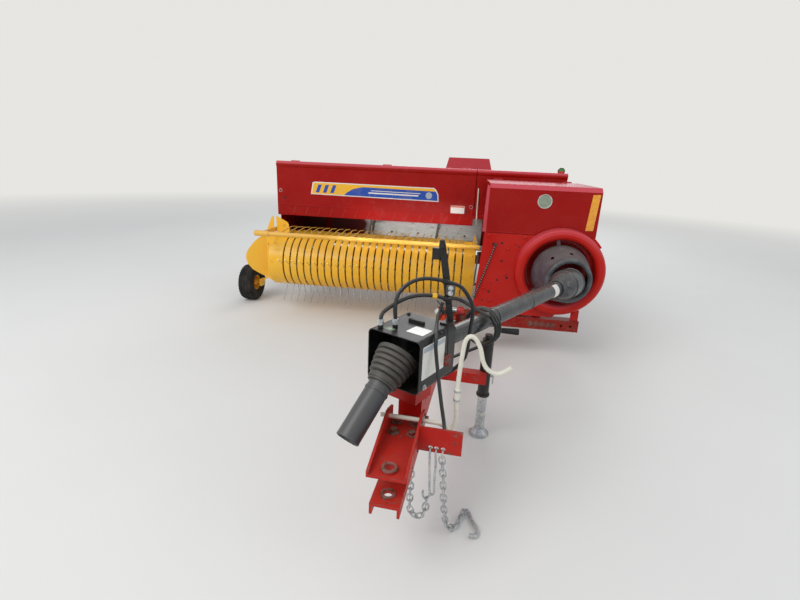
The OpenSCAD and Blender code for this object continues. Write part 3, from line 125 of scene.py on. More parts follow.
def sprayedEnamel(name, look):
    # Alkyd enamel sprayed on sheet steel: glossy where new, chalky and dusty outdoors, chipped to steel or rust, paler
    # on faces that look up as a painted highlight
    tree, place = newMaterial(name)
    patches = addNode(tree, "TexNoise", blotches(place, 0.35))
    fading = addNode(tree, "MapRange", {"Value": patches, "From Min": 0.35, "From Max": 0.7})
    colour = addNode(tree, "Mix", {0: fading, 6: hexColour(look["paint"]), 7: hexColour(look["faded"])},
                     2, data_type="RGBA")
    # dust in blotches 60 mm wide, most on faces that look up
    blotch = addNode(tree, "TexNoise", blotches(place, 0.06, 6))
    thrown = addNode(tree, "MapRange", {"Value": blotch, "From Min": 0.42, "From Max": 0.75})
    thrown = addNode(tree, "Math", {0: thrown, 1: look["dust"]}, operation="MULTIPLY")
    lying = addNode(tree, "MapRange", {"Value": upFacing(tree), "From Min": 0.35, "From Max": 1.0})
    lying = addNode(tree, "Math", {0: lying, 1: look["dust"] * 0.7}, operation="MULTIPLY")
    dusty = addNode(tree, "Math", {0: thrown, 1: lying}, operation="ADD", use_clamp=True)
    colour = addNode(tree, "Mix", {0: dusty, 6: colour, 7: hexColour(weather["dust"])}, 2, data_type="RGBA")
    # painted highlight: faces that look up, folds too, are mixed toward a pale pink as if lit by the sky
    toplitHighlight = addNode(tree, "MapRange", {"Value": upFacing(tree), "From Min": 0.15, "From Max": 0.6})
    toplitHighlight = addNode(tree, "Math", {0: toplitHighlight, 1: look["topHighlight"]}, operation="MULTIPLY")
    colour = addNode(tree, "Mix", {0: toplitHighlight, 6: colour, 7: hexColour(weather["highlightPink"])}, 2, data_type="RGBA")
    # splashes of mud, 12 mm wide, thinning out upwards
    height = addNode(tree, "SeparateXYZ", {0: place}, "Z")
    low = addNode(tree, "MapRange", {"Value": height, "From Min": weather["mudTop"], "From Max": weather["mudFull"]})
    splash = addNode(tree, "TexNoise", blotches(place, 0.012, 5))
    splash = addNode(tree, "MapRange", {"Value": splash, "From Min": 0.5, "From Max": 0.62})
    mud = addNode(tree, "Math", {0: low, 1: splash}, operation="MULTIPLY")
    mud = addNode(tree, "Math", {0: mud, 1: look["mud"]}, operation="MULTIPLY")
    colour = addNode(tree, "Mix", {0: mud, 6: colour, 7: hexColour(weather["mud"])}, 2, data_type="RGBA")
    # chips, 2 to 8 mm, along the edges, and scratches anywhere
    flake = addNode(tree, "TexNoise", blotches(place, 0.008, 5, 0.7))
    flake = addNode(tree, "MapRange", {"Value": flake, "From Min": look["chip"], "From Max": look["chip"] + 0.04})
    chip = addNode(tree, "Math", {0: edgeMask(tree, weather["edge"]), 1: flake}, operation="MULTIPLY")
    scratch = addNode(tree, "TexNoise", blotches(place, 0.02, 8, 0.75))
    scratch = addNode(tree, "MapRange", {"Value": scratch, "From Min": look["scratch"],
                                         "From Max": look["scratch"] + 0.02})
    bare = addNode(tree, "Math", {0: chip, 1: scratch}, operation="MAXIMUM")
    rusting = addNode(tree, "TexNoise", blotches(place, 0.015))
    rusting = addNode(tree, "MapRange", {"Value": rusting, "From Min": 0.4, "From Max": 0.6})
    steel = addNode(tree, "Mix", {0: rusting, 6: hexColour(weather["steel"]), 7: hexColour(weather["rust"])},
                    2, data_type="RGBA")
    colour = addNode(tree, "Mix", {0: bare, 6: colour, 7: steel}, 2, data_type="RGBA")
    gloss = addNode(tree, "MapRange", {"Value": blotch, "To Min": look["gloss"], "To Max": look["gloss"] + 0.16})
    matt = addNode(tree, "Math", {0: dusty, 1: 0.35}, operation="MULTIPLY")
    rough = addNode(tree, "Math", {0: gloss, 1: matt}, operation="ADD")
    peel = addNode(tree, "TexNoise", {"Vector": place, "Scale": 260.0, "Detail": 2.0})  # orange peel, 2.5 mm
    peel = addNode(tree, "Math", {0: peel, 1: 0.25}, operation="MULTIPLY")
    sunk = addNode(tree, "Math", {0: bare, 1: -1.0}, operation="MULTIPLY")
    relief = addNode(tree, "Math", {0: peel, 1: sunk}, operation="ADD")
    surface(tree, {"Base Color": colour, "Roughness": rough, "IOR": 1.5, "Specular IOR Level": look["shine"]},
            relief, 0.25, 0.0004)


# Deep red on frames and sheets, warm yellow on the pickup; a higher chip or scratch value leaves less bare steel
# topHighlight is how strongly faces that look up get the painted highlight
enamelColumns = ("paint", "faded", "dust", "mud", "chip", "scratch", "gloss", "shine", "topHighlight")
enamels = {
    # the hood's and panel's red is the paint darkened as painted shade, so darker than the lower shield's red
    "shadeDarkenedShieldEnamel": ("#950b06", "#a0120c", 0.015, 0.2, 0.66, 0.79, 0.18, 0.16, 0.8),
    "lowerShieldEnamel": ("#b5150d", "#bd1f17", 0.03, 0.4, 0.60, 0.745, 0.24, 0.18, 0.6),
    "frameEnamel": ("#980e08", "#8a150e", 0.07, 0.7, 0.52, 0.70, 0.34, 0.18, 0.0),
    "hitchEnamel": ("#b0140d", "#bd2117", 0.06, 0.5, 0.42, 0.60, 0.28, 0.2, 0.0),
    "pickupEnamel": ("#f2b21a", "#f8c23c", 0.04, 0.25, 0.60, 0.72, 0.24, 0.45, 0.0),
    "guardEnamel": ("#e8ad38", "#f0c162", 0.12, 0.2, 0.50, 0.66, 0.32, 0.4, 0.0),
    "blackEnamel": ("#0e0f11", "#17181b", 0.05, 0.3, 0.60, 0.74, 0.30, 0.4, 0.0),
    "rimEnamel": ("#dcd7c8", "#cfc8b6", 0.25, 0.6, 0.60, 0.70, 0.35, 0.4, 0.0),
    "rodEnamel": ("#dedbcc", "#d3cdb8", 0.10, 0.2, 0.56, 0.66, 0.38, 0.35, 0.0),
    "castEnamel": ("#38373a", "#43403e", 0.3, 0.3, 0.62, 0.72, 0.5, 0.3, 0.0),
    "wornBoltEnamel": ("#8f1a1a", "#7d2a22", 0.3, 0.3, 0.30, 0.50, 0.4, 0.3, 0.0),
    # a paler copy of the shield red, laid on the hood's edge as a painted highlight
    "edgeHighlightEnamel": ("#bf3f48", "#c9505a", 0.02, 0.0, 0.6, 0.75, 0.22, 0.3, 0.0),
    "chalkedEnamel": ("#b03a34", "#b8463e", 0.2, 0.0, 0.6, 0.7, 0.45, 0.3, 0.0),
}
for name, row in enamels.items():
    sprayedEnamel(name, dict(zip(enamelColumns, row)))

# the far end's red is darker than the paint elsewhere: painted shade
haySheet = {"grey": "#d2cfc8", "bright": "#ebe9e4", "speck": "#6b6259", "paint": "#5d0f0b",
            "paintFrom": -0.28, "paintFull": -0.36}  # metres along the machine's width


def haywornSheet():
    # Painted steel sheet polished pale grey by hay, with rust specks; at the far end still red paint, made darker as
    # painted shade
    tree, place = newMaterial("haywornSteelSheet")
    stretched = addNode(tree, "Mapping", {"Vector": place, "Scale": (1.0, 0.15, 3.0)})
    streak = addNode(tree, "TexNoise", blotches(stretched, 0.05, 6))
    polish = addNode(tree, "MapRange", {"Value": streak, "From Min": 0.3, "From Max": 0.7})
    colour = addNode(tree, "Mix", {0: polish, 6: hexColour(haySheet["grey"]), 7: hexColour(haySheet["bright"])},
                     2, data_type="RGBA")
    speck = addNode(tree, "TexNoise", blotches(place, 0.02, 6, 0.7))
    speck = addNode(tree, "MapRange", {"Value": speck, "From Min": 0.60, "From Max": 0.68})
    colour = addNode(tree, "Mix", {0: speck, 6: colour, 7: hexColour(haySheet["speck"])}, 2, data_type="RGBA")
    # towards the far end the sheet turns dark red: paint left there, darkened as painted shade
    across = addNode(tree, "SeparateXYZ", {0: place}, "X")
    ragged = addNode(tree, "TexNoise", blotches(place, 0.12, 6))
    ragged = addNode(tree, "Math", {0: ragged, 1: 0.35}, operation="MULTIPLY")
    ragged = addNode(tree, "Math", {0: across, 1: ragged}, operation="ADD")
    worn = addNode(tree, "MapRange", {"Value": ragged, "From Min": haySheet["paintFull"],
                                      "From Max": haySheet["paintFrom"]})
    colour = addNode(tree, "Mix", {0: worn, 6: hexColour(haySheet["paint"]), 7: colour}, 2, data_type="RGBA")
    surface(tree, {"Base Color": colour, "Metallic": 0.0, "Roughness": 0.42}, streak, 0.2, 0.001)


def bareSteel(name, light, dark, rust, roughness):
    # Rolled steel bar or wire: dull metal, darker in blotches, with light rust
    tree, place = newMaterial(name)
    blotch = addNode(tree, "TexNoise", blotches(place, 0.012, 6))
    darkening = addNode(tree, "MapRange", {"Value": blotch, "From Min": 0.35, "From Max": 0.65})
    colour = addNode(tree, "Mix", {0: darkening, 6: hexColour(light), 7: hexColour(dark)}, 2, data_type="RGBA")
    rusty = addNode(tree, "TexNoise", blotches(place, 0.03, 6, 0.7))
    rusty = addNode(tree, "MapRange", {"Value": rusty, "From Min": 0.5, "From Max": 0.62})
    rusty = addNode(tree, "Math", {0: rusty, 1: rust}, operation="MULTIPLY")
    colour = addNode(tree, "Mix", {0: rusty, 6: colour, 7: hexColour("#6a3b22")}, 2, data_type="RGBA")
    surface(tree, {"Base Color": colour, "Metallic": 0.85, "Roughness": roughness}, blotch, 0.3, 0.0005)


def galvanisedSteel():
    # Hot-dip galvanised steel: grey spangle 8 mm across, chalky white bloom
    tree, place = newMaterial("galvanisedSteel")
    spangle = addNode(tree, "TexVoronoi", {"Vector": place, "Scale": 125.0}, "Color")
    tone = addNode(tree, "SeparateColor", {0: spangle})
    colour = addNode(tree, "Mix", {0: tone, 6: hexColour("#a3a7a9"), 7: hexColour("#cccfcf")}, 2, data_type="RGBA")
    bloom = addNode(tree, "TexNoise", blotches(place, 0.03, 5))
    bloom = addNode(tree, "MapRange", {"Value": bloom, "From Min": 0.5, "From Max": 0.7})
    colour = addNode(tree, "Mix", {0: bloom, 6: colour, 7: hexColour("#d6d4cc")}, 2, data_type="RGBA")
    rough = addNode(tree, "MapRange", {"Value": tone, "To Min": 0.32, "To Max": 0.5})
    surface(tree, {"Base Color": colour, "Metallic": 0.7, "Roughness": rough})


def tyreRubber():
    # Vulcanised rubber: near black, grey-brown in blotches of road dust, grain 1.5 mm
    tree, place = newMaterial("tyreRubber")
    dusty = addNode(tree, "TexNoise", blotches(place, 0.05, 6))
    dusty = addNode(tree, "MapRange", {"Value": dusty, "From Min": 0.4, "From Max": 0.75})
    colour = addNode(tree, "Mix", {0: dusty, 6: hexColour("#1b1b1c"), 7: hexColour("#3c3833")}, 2, data_type="RGBA")
    grain = addNode(tree, "TexNoise", {"Vector": place, "Scale": 420.0, "Detail": 3.0})
    surface(tree, {"Base Color": colour, "Roughness": 0.82, "IOR": 1.45,
                   "Specular IOR Level": 0.35}, grain, 0.3, 0.0004)


def mouldedPlastic(name, base, worn, wornAmount, roughness, sheen=0.4):
    # Moulded polyethylene or hose rubber: satin skin, scuffed paler where it rubs, dusty on top
    tree, place = newMaterial(name)
    scuff = addNode(tree, "TexNoise", blotches(place, 0.035, 7, 0.65))
    scuff = addNode(tree, "MapRange", {"Value": scuff, "From Min": 0.62 - wornAmount * 0.3, "From Max": 0.8})
    colour = addNode(tree, "Mix", {0: scuff, 6: hexColour(base), 7: hexColour(worn)}, 2, data_type="RGBA")
    lying = addNode(tree, "MapRange", {"Value": upFacing(tree), "From Min": 0.2, "From Max": 1.0})
    lying = addNode(tree, "Math", {0: lying, 1: 0.28}, operation="MULTIPLY")
    colour = addNode(tree, "Mix", {0: lying, 6: colour, 7: hexColour("#8f8a80")}, 2, data_type="RGBA")
    grain = addNode(tree, "TexNoise", {"Vector": place, "Scale": 500.0, "Detail": 2.0})
    rough = addNode(tree, "MapRange", {"Value": scuff, "To Min": roughness, "To Max": roughness + 0.2})
    surface(tree, {"Base Color": colour, "Roughness": rough, "IOR": 1.5, "Specular IOR Level": sheen},
            grain, 0.15, 0.0003)


def smallFitting(name, colour, roughness):
    # One paint or plastic, mottled darker in blotches 12 mm wide
    tree, place = newMaterial(name)
    mottle = addNode(tree, "TexNoise", blotches(place, 0.012, 4))
    base = hexColour(colour)
    darkening = addNode(tree, "MapRange", {"Value": mottle, "From Min": 0.35, "From Max": 0.75})
    shade = addNode(tree, "Mix", {0: darkening, 6: base, 7: [c * 0.72 for c in base[:3]] + [1]}, 2, data_type="RGBA")
    surface(tree, {"Base Color": shade, "Roughness": roughness, "Metallic": 0.0}, mottle, 0.1, 0.0003)


def vinylFilm(name, base):
    # Cast vinyl decal: even satin colour, dulled by dust, fine scratches
    tree, place = newMaterial(name)
    dust = addNode(tree, "TexNoise", blotches(place, 0.05, 6))
    dust = addNode(tree, "MapRange", {"Value": dust, "From Min": 0.45, "From Max": 0.8})
    dust = addNode(tree, "Math", {0: dust, 1: 0.22}, operation="MULTIPLY")
    colour = addNode(tree, "Mix", {0: dust, 6: hexColour(base), 7: hexColour(weather["dust"])}, 2, data_type="RGBA")
    scratch = addNode(tree, "TexNoise", blotches(place, 0.012, 8, 0.75))
    scratch = addNode(tree, "MapRange", {"Value": scratch, "From Min": 0.74, "From Max": 0.77})
    scratch = addNode(tree, "Math", {0: scratch, 1: 0.6}, operation="MULTIPLY")
    colour = addNode(tree, "Mix", {0: scratch, 6: colour, 7: hexColour("#6d1f1c")}, 2, data_type="RGBA")
    grain = addNode(tree, "TexNoise", {"Vector": place, "Scale": 700.0, "Detail": 2.0})
    rough = addNode(tree, "MapRange", {"Value": dust, "To Min": 0.26, "To Max": 0.62})
    surface(tree, {"Base Color": colour, "Roughness": rough}, grain, 0.08, 0.0002)


def prismReflector():
    # Acrylic reflector tape: amber, cells 6 mm across that glint at different angles
    tree, place = newMaterial("amberPrismReflector")
    cells = addNode(tree, "TexVoronoi", {"Vector": place, "Scale": 165.0}, "Color")
    tone = addNode(tree, "SeparateColor", {0: cells})
    colour = addNode(tree, "Mix", {0: tone, 6: hexColour("#dd8d14"), 7: hexColour("#f1a92b")}, 2, data_type="RGBA")
    surface(tree, {"Base Color": colour, "Roughness": 0.22, "Coat Weight": 0.6, "Coat Roughness": 0.05},
            cells.node.outputs["Distance"], 0.35, 0.0006)


def braidedRope():
    # Polypropylene cord braided from black and white strands, 12 mm to a turn
    tree, place = newMaterial("braidedRope")
    wave = addNode(tree, "TexWave", {"Vector": place, "Scale": 26.0, "Distortion": 0.4}, "Fac",
                   bands_direction="DIAGONAL")
    strand = addNode(tree, "MapRange", {"Value": wave, "From Min": 0.62, "From Max": 0.78})
    colour = addNode(tree, "Mix", {0: strand, 6: hexColour("#101012"), 7: hexColour("#8a857c")}, 2, data_type="RGBA")
    surface(tree, {"Base Color": colour, "Roughness": 0.8}, wave, 0.5, 0.001)


def chromedPlastic():
    # Vacuum-plated ABS: bright, pitted and dusty
    tree, place = newMaterial("chromedPlastic")
    pits = addNode(tree, "TexNoise", blotches(place, 0.006, 6))
    dull = addNode(tree, "MapRange", {"Value": pits, "From Min": 0.45, "From Max": 0.7})
    colour = addNode(tree, "Mix", {0: dull, 6: hexColour("#d9d9d6"), 7: hexColour("#a5a39d")}, 2, data_type="RGBA")
    rough = addNode(tree, "MapRange", {"Value": pits, "To Min": 0.12, "To Max": 0.45})
    surface(tree, {"Base Color": colour, "Metallic": 0.9, "Roughness": rough})


steels = {  # light, dark, rust, roughness
    "springSteelWire": ("#d6d3cc", "#a8a49b", 0.25, 0.35),  # bright where hay polishes it
    "polishedFeederSteel": ("#a6a5a1", "#7f7d78", 0.25, 0.32),
    "plungerSteel": ("#77746e", "#55504a", 0.5, 0.45),
}
mouldings = {  # base, worn, amount worn, roughness, sheen
    "bellowsPolyethylene": ("#332f2b", "#57504a", 0.6, 0.5),
    "shaftTubePolyethylene": ("#3b3c3f", "#5e5f63", 0.25, 0.36),
    "rearTubePolyethylene": ("#1f2022", "#55585b", 0.35, 0.27, 0.75),
    "weatheredGuardPlastic": ("#4a4046", "#6c5f63", 0.5, 0.5),
    "hydraulicHoseRubber": ("#1c1d1e", "#3b3c3d", 0.2, 0.45),
    "scuffedPolyethylene": ("#3c3f42", "#6f7275", 0.6, 0.45),
}
films = {"whiteVinylFilm": "#e4e2dc", "yellowVinylFilm": "#f0b61f", "blueVinylFilm": "#1247a8",
         "silverVinylFilm": "#a9b3bd", "orangeVinylFilm": "#d8641c", "greenVinylFilm": "#2f8a3a",
         "redVinylFilm": "#c1201c"}
fittings = {  # colour, roughness
    "badgeEnamel": ("#8f9c86", 0.35),
    "blackRubber": ("#1b1b1c", 0.7),
    "whitePolyamide": ("#dcd9d0", 0.45),
    "redPolyethylene": ("#b3221e", 0.45),
}
for name, row in steels.items():
    bareSteel(name, *row)
for name, row in mouldings.items():
    mouldedPlastic(name, *row)
for name, colour in films.items():
    vinylFilm(name, colour)
for name, row in fittings.items():
    smallFitting(name, *row)
for makeFinish in (haywornSheet, galvanisedSteel, tyreRubber, prismReflector, braidedRope, chromedPlastic):
    makeFinish()
print("materials made:", len(finishes))

nodeFinish = {
    "lowerShieldEnamel": ["front_shield"],
    "shadeDarkenedShieldEnamel": ["shields", "panel_front", "hood_front", "knotter_cover", "twine_lid", "twine_box", "flywheel"],
    "frameEnamel": ["frame", "bale_case", "tension_unit", "chute"],
    "hitchEnamel": ["tongue", "hitch"],
    "pickupEnamel": ["pickup_bands", "pickup_flare", "pickup_frame", "rim_gauge"],
    "guardEnamel": ["windguard"],
    "blackEnamel": ["bearing_shield", "hose_post", "jack_body"],
    "rimEnamel": ["rim_left", "rim_right"],
    "rodEnamel": ["support_rod"],
    "castEnamel": ["gearbox", "feeder_drive", "knotters"],
    "haywornSteelSheet": ["feeder_pan"],
    "springSteelWire": ["reel"],
    "polishedFeederSteel": ["feeder_rotor_left", "feeder_rotor_right", "needles"],
    "plungerSteel": ["plunger"],
    "galvanisedSteel": ["jack_leg", "safety_chain"],
    "tyreRubber": ["tyre_left", "tyre_right", "tyre_gauge"],
    "bellowsPolyethylene": ["bellows"],
    "shaftTubePolyethylene": ["shaft_front"],
    "rearTubePolyethylene": ["shaft_rear", "shaft_slide"],
    "weatheredGuardPlastic": ["flywheel_guard"],
    "hydraulicHoseRubber": ["hoses"],
}
for finishName, nodeNames in nodeFinish.items():
    for nodeName in nodeNames:
        nodes[nodeName].data.materials.clear()
        nodes[nodeName].data.materials.append(finishes[finishName])
print("finishes on", sum(len(n) for n in nodeFinish.values()), "nodes of", len(nodes))

# Where things sit: the tongue's, the bearing shield's and the driveline's own frames, and the main planes
tonguePivot, tongueTurn, tongueLength = Vector((0.545, -0.815, 0)), math.radians(-4.11), 2.120
tongueFrame = Matrix.Translation(tonguePivot) @ Matrix.Rotation(tongueTurn, 4, "Z")
shieldTurn = math.radians(-28)
shieldCentre = tongueFrame @ Vector((-0.0111, 0.4188 - tongueLength, 0))
shieldFrame = Matrix.Translation(shieldCentre) @ Matrix.Rotation(shieldTurn, 4, "Z")
rearJoint = Vector((1.339, -1.100, 0.719))  # on the flywheel's axis
driveTurn = -math.atan2(rearJoint.x - shieldCentre.x, rearJoint.y - shieldCentre.y)
driveFrame = Matrix.Translation(rearJoint) @ Matrix.Rotation(driveTurn, 4, "Z")
hoodPlane, panelPlane, feederBack = -0.750, 0.050, 0.794  # places along Y
forward, backward, upward, leftward, rightward = (0, -1, 0), (0, 1, 0), (0, 0, 1), (1, 0, 0), (-1, 0, 0)


def facing(origin, across, up):  # a frame whose X runs across, Y up, and Z out of the face
    across, up = Vector(across).normalized(), Vector(up).normalized()
    out = across.cross(up)
    return Matrix.Translation(Vector(origin)) @ Matrix((across, up, out)).transposed().to_4x4()


def frontFace(y, x=0, z=0):  # outlines on it are given in the part's X and Z, from x and z
    return facing((x, y, z), leftward, upward)


def aboutZ(degrees):
    return Matrix.Rotation(math.radians(degrees), 4, "Z")


def along(origin, direction):  # a frame whose Z runs along the direction
    return Matrix.Translation(Vector(origin)) @ Vector(direction).to_track_quat("Z", "Y").to_matrix().to_4x4()


# Modelling steps used over and over
def editOn(piece, kind, chosen):  # edit mode, with the faces or edges that pass the test selected
    bpy.context.view_layer.objects.active = piece
    bpy.ops.object.mode_set(mode="EDIT")
    bpy.ops.mesh.select_mode(type=kind)
    bpy.ops.mesh.select_all(action="DESELECT")
    mesh = bmesh.from_edit_mesh(piece.data)
    for item in (mesh.faces if kind == "FACE" else mesh.edges):
        item.select_set(bool(chosen(item)))
    bmesh.update_edit_mesh(piece.data)


def editOff():
    bpy.ops.object.mode_set(mode="OBJECT")


def settle(piece, name, place, finish, body, smooth=32):  # into place for good, finished, and on its body
    piece.name = piece.data.name = name
    piece.matrix_world = place
    deselectAll()
    piece.select_set(True)
    bpy.context.view_layer.objects.active = piece
    bpy.ops.object.transform_apply(location=True, rotation=True, scale=True)
    bpy.ops.object.shade_smooth_by_angle(angle=math.radians(smooth))
    piece.data.materials.clear()
    piece.data.materials.append(finishes[finish])
    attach(piece, body)
    return piece


def plateShape(outline, thickness, rim):  # a sheet cut to an outline, its front rim rounded
    deselectAll()
    bpy.ops.mesh.primitive_circle_add(vertices=len(outline), fill_type="NGON")
    piece = bpy.context.object
    for vertex, (x, y) in zip(piece.data.vertices, outline):
        vertex.co = (x, y, 0)
    editOn(piece, "FACE", lambda face: True)
    bpy.ops.mesh.extrude_region_move(TRANSFORM_OT_translate={"value": (0, 0, thickness)})
    bpy.ops.mesh.select_all(action="SELECT")
    bpy.ops.mesh.normals_make_consistent(inside=False)
    editOff()
    if rim:
        editOn(piece, "EDGE", lambda edge: all(v.co.z > thickness * 0.9 for v in edge.verts))
        bpy.ops.mesh.bevel(offset=rim, segments=2, affect="EDGES")
        editOff()
    return piece


def plate(name, outline, thickness, place, finish, body, rim=0.0008):
    return settle(plateShape(outline, thickness, rim), name, place, finish, body)


def turnedShape(profile, steps=48, sweep=2 * math.pi):  # points (radius, height) spun about Z
    deselectAll()
    bpy.ops.mesh.primitive_circle_add(vertices=len(profile), fill_type="NGON" if sweep < 6 else "NOTHING")
    piece = bpy.context.object
    for vertex, (radius, height) in zip(piece.data.vertices, profile):
        vertex.co = (radius, 0, height)
    editOn(piece, "EDGE", lambda edge: True)
    bpy.ops.mesh.spin(steps=steps, angle=-sweep, center=(0, 0, 0), axis=(0, 0, 1))
    bpy.ops.mesh.select_all(action="SELECT")
    bpy.ops.mesh.remove_doubles(threshold=0.00001)
    bpy.ops.mesh.delete_loose()
    bpy.ops.mesh.select_all(action="SELECT")
    bpy.ops.mesh.normals_make_consistent(inside=False)
    editOff()
    return piece


def turned(name, profile, place, finish, body, steps=48, sweep=2 * math.pi):
    return settle(turnedShape(profile, steps, sweep), name, place, finish, body)


def tube(name, points, radius, finish, body, resolution=3):  # round bar or line bent through the points
    deselectAll()
    bpy.ops.curve.primitive_bezier_curve_add()
    line = bpy.context.object
    line.data.dimensions = "3D"
    spline = line.data.splines[0]
    spline.bezier_points.add(len(points) - 2)
    for knot, point in zip(spline.bezier_points, points):
        knot.co = point
        knot.handle_left_type = knot.handle_right_type = "AUTO"
    line.data.resolution_u, line.data.bevel_depth = 6, radius
    line.data.bevel_resolution, line.data.use_fill_caps = resolution, True
    bpy.ops.object.convert(target="MESH")
    return settle(bpy.context.object, name, Matrix(), finish, body, 60)


def repeated(name, shape, places, finish, body):  # a copy with its own mesh at each place, and the shape goes
    copies = []
    for place in places:
        piece = shape.copy()
        piece.data = shape.data.copy()
        bpy.context.collection.objects.link(piece)
        piece.matrix_world = place
        copies.append(piece)
    deselectAll()
    for piece in copies:
        piece.select_set(True)
    bpy.context.view_layer.objects.active = copies[0]
    bpy.ops.object.transform_apply(location=True, rotation=True, scale=True)
    bpy.ops.object.join()
    piece = settle(bpy.context.object, name, Matrix(), finish, body)
    bpy.data.objects.remove(shape)
    return piece


def hexBolt(across):  # washer and hexagon head, its top chamfered; across flats in metres
    deselectAll()
    bpy.ops.mesh.primitive_cylinder_add(vertices=6, radius=across * 0.577, depth=across * 0.55,
                                        location=(0, 0, across * 0.40))
    head = bpy.context.object
    editOn(head, "EDGE", lambda edge: all(v.co.z > 0 for v in edge.verts))
    bpy.ops.mesh.bevel(offset=across * 0.07, segments=1, affect="EDGES")
    editOff()
    bpy.ops.mesh.primitive_cylinder_add(vertices=16, radius=across * 0.92, depth=across * 0.13,
                                        location=(0, 0, across * 0.065))
    washer = bpy.context.object
    head.select_set(True)
    bpy.context.view_layer.objects.active = washer
    bpy.ops.object.join()
    piece = bpy.context.object
    bpy.ops.object.transform_apply(location=True, rotation=True, scale=True)
    return piece


def bolts(name, across, spots, finish, body):  # spots are (place, outward direction)
    return repeated(name, hexBolt(across), [along(place, out) for place, out in spots], finish, body)


def frontBolts(name, across, y, spots, finish, body):  # spots are (X, Z) on a plane that faces forward
    return bolts(name, across, [((x, y, z), forward) for x, z in spots], finish, body)


def rounded(x0, y0, x1, y1, radius, steps=4):  # outline of a rectangle with rounded corners
    points = []
    for cx, cy, start in ((x1 - radius, y0 + radius, -90), (x1 - radius, y1 - radius, 0),
                          (x0 + radius, y1 - radius, 90), (x0 + radius, y0 + radius, 180)):
        for i in range(steps + 1):
            angle = math.radians(start + 90 * i / steps)
            points.append((cx + radius * math.cos(angle), cy + radius * math.sin(angle)))
    return points


# Front panel: decal in generic stripes, blank label, latches, plugs, crease and seams of the folded lower strip
decal = {"outer": [(-0.890, 1.133), (0.346, 1.123), (0.340, 1.190), (0.318, 1.232), (0.296, 1.248), (-0.845, 1.251),
                   (-0.872, 1.243)], "film": 0.0006, "disc": 0.030}
panelFace = frontFace(panelPlane)


def decalField(name, outline, finish, layer):
    return plate(name, outline, decal["film"] * layer, panelFace, finish, "panel_front", 0)


decalField("panelDecalEdge", decal["outer"], "whiteVinylFilm", 1)
decalField("panelDecalYellow", [(-0.878, 1.141), (0.336, 1.131), (0.330, 1.188), (0.310, 1.226), (0.292, 1.239),
                                (-0.842, 1.242), (-0.863, 1.235)], "yellowVinylFilm", 2)
decalField("panelDecalBlue", [(-0.560, 1.1385), (0.336, 1.131), (0.330, 1.188), (0.313, 1.215), (-0.380, 1.222),
                              (-0.470, 1.200), (-0.530, 1.168)], "blueVinylFilm", 3)
for i in range(3):  # slanted bars, where a name would stand
    x = -0.842 + 0.072 * i
    decalField(f"panelDecalBar{i}", [(x, 1.152), (x + 0.034, 1.152), (x + 0.062, 1.226),
                                     (x + 0.028, 1.226)], "blueVinylFilm", 3)
decalField("panelDecalLine", [(-0.330, 1.166), (0.150, 1.162), (0.158, 1.174), (-0.318, 1.178)], "whiteVinylFilm", 4)
decalField("panelDecalLineTop", [(-0.300, 1.190), (0.168, 1.186), (0.173, 1.192), (-0.294, 1.196)], "whiteVinylFilm", 4)
turned("panelDecalDisc", [(0, 0), (decal["disc"], 0), (decal["disc"], decal["film"] * 4), (0, decal["film"] * 4)],
       frontFace(panelPlane, 0.252, 1.176), "silverVinylFilm", "panel_front", 32)
plate("panelBlankLabel", rounded(0.463, 1.027, 0.591, 1.097, 0.004), 0.0006, panelFace,
      "whiteVinylFilm", "panel_front", 0)
plate("panelLabelStripe", rounded(0.466, 1.081, 0.588, 1.094, 0.002), 0.0010, panelFace,
      "orangeVinylFilm", "panel_front", 0)
latchShape = turnedShape([(0.0125, 0), (0.0170, 0), (0.0170, 0.0025), (0.0150, 0.0045), (0.0125, 0.0025)], 32)
repeated("panelLatches", latchShape, [along((x, panelPlane, z), forward) for x, z in ((-1.196, 1.154), (0.650, 1.092))],
         "galvanisedSteel", "panel_front")
plugShape = turnedShape([(0, 0), (0.011, 0), (0.011, 0.001), (0.008, 0.0016), (0, 0.0006)], 20)
repeated("panelPlugs", plugShape, [along((x, panelPlane, z), forward) for x, z in ((-1.150, 1.086), (0.612, 1.048))],
         "blackRubber", "panel_front")
plate("panelCrease", [(-1.222, 1.0185), (0.672, 1.0105), (0.672, 1.0165), (-1.222, 1.0245)], 0.0035, panelFace,
      "shadeDarkenedShieldEnamel", "panel_front", 0.0016)
seams = {"count": 15, "from": -1.075, "pitch": 0.1235, "low": 0.930, "lean": 0.030, "length": 0.076, "width": 0.003}
seamShape = plateShape([(0, 0), (seams["width"], 0), (seams["width"] + seams["lean"], seams["length"]),
                        (seams["lean"], seams["length"])], 0.0016, 0.0007)
seamSpots = [panelFace @ Matrix.Translation((seams["from"] + seams["pitch"] * i, seams["low"], 0))
             for i in range(seams["count"])]
repeated("panelStripSeams", seamShape, seamSpots, "chalkedEnamel", "panel_front")
# Rounded fold along the top of panel and strip
fold = {"radius": 0.032, "sheet": 0.0015, "turn": 183.0, "start": -136.5, "middle": (0.072, 1.398)}  # degrees; Y and Z
for name, start, length, body in (("panelFold", -1.229, 1.905, "panel_front"), ("stripFold", 0.682, 0.793, "main")):
    outer, inner = fold["radius"], fold["radius"] - fold["sheet"]
    turned(name, [(inner, 0), (outer, 0), (outer, length), (inner, length)],
           facing((start, *fold["middle"]), forward, (0, 0, -1)) @ aboutZ(fold["start"]),
           "shadeDarkenedShieldEnamel", body, 20, math.radians(fold["turn"]))
print("panel dressed")
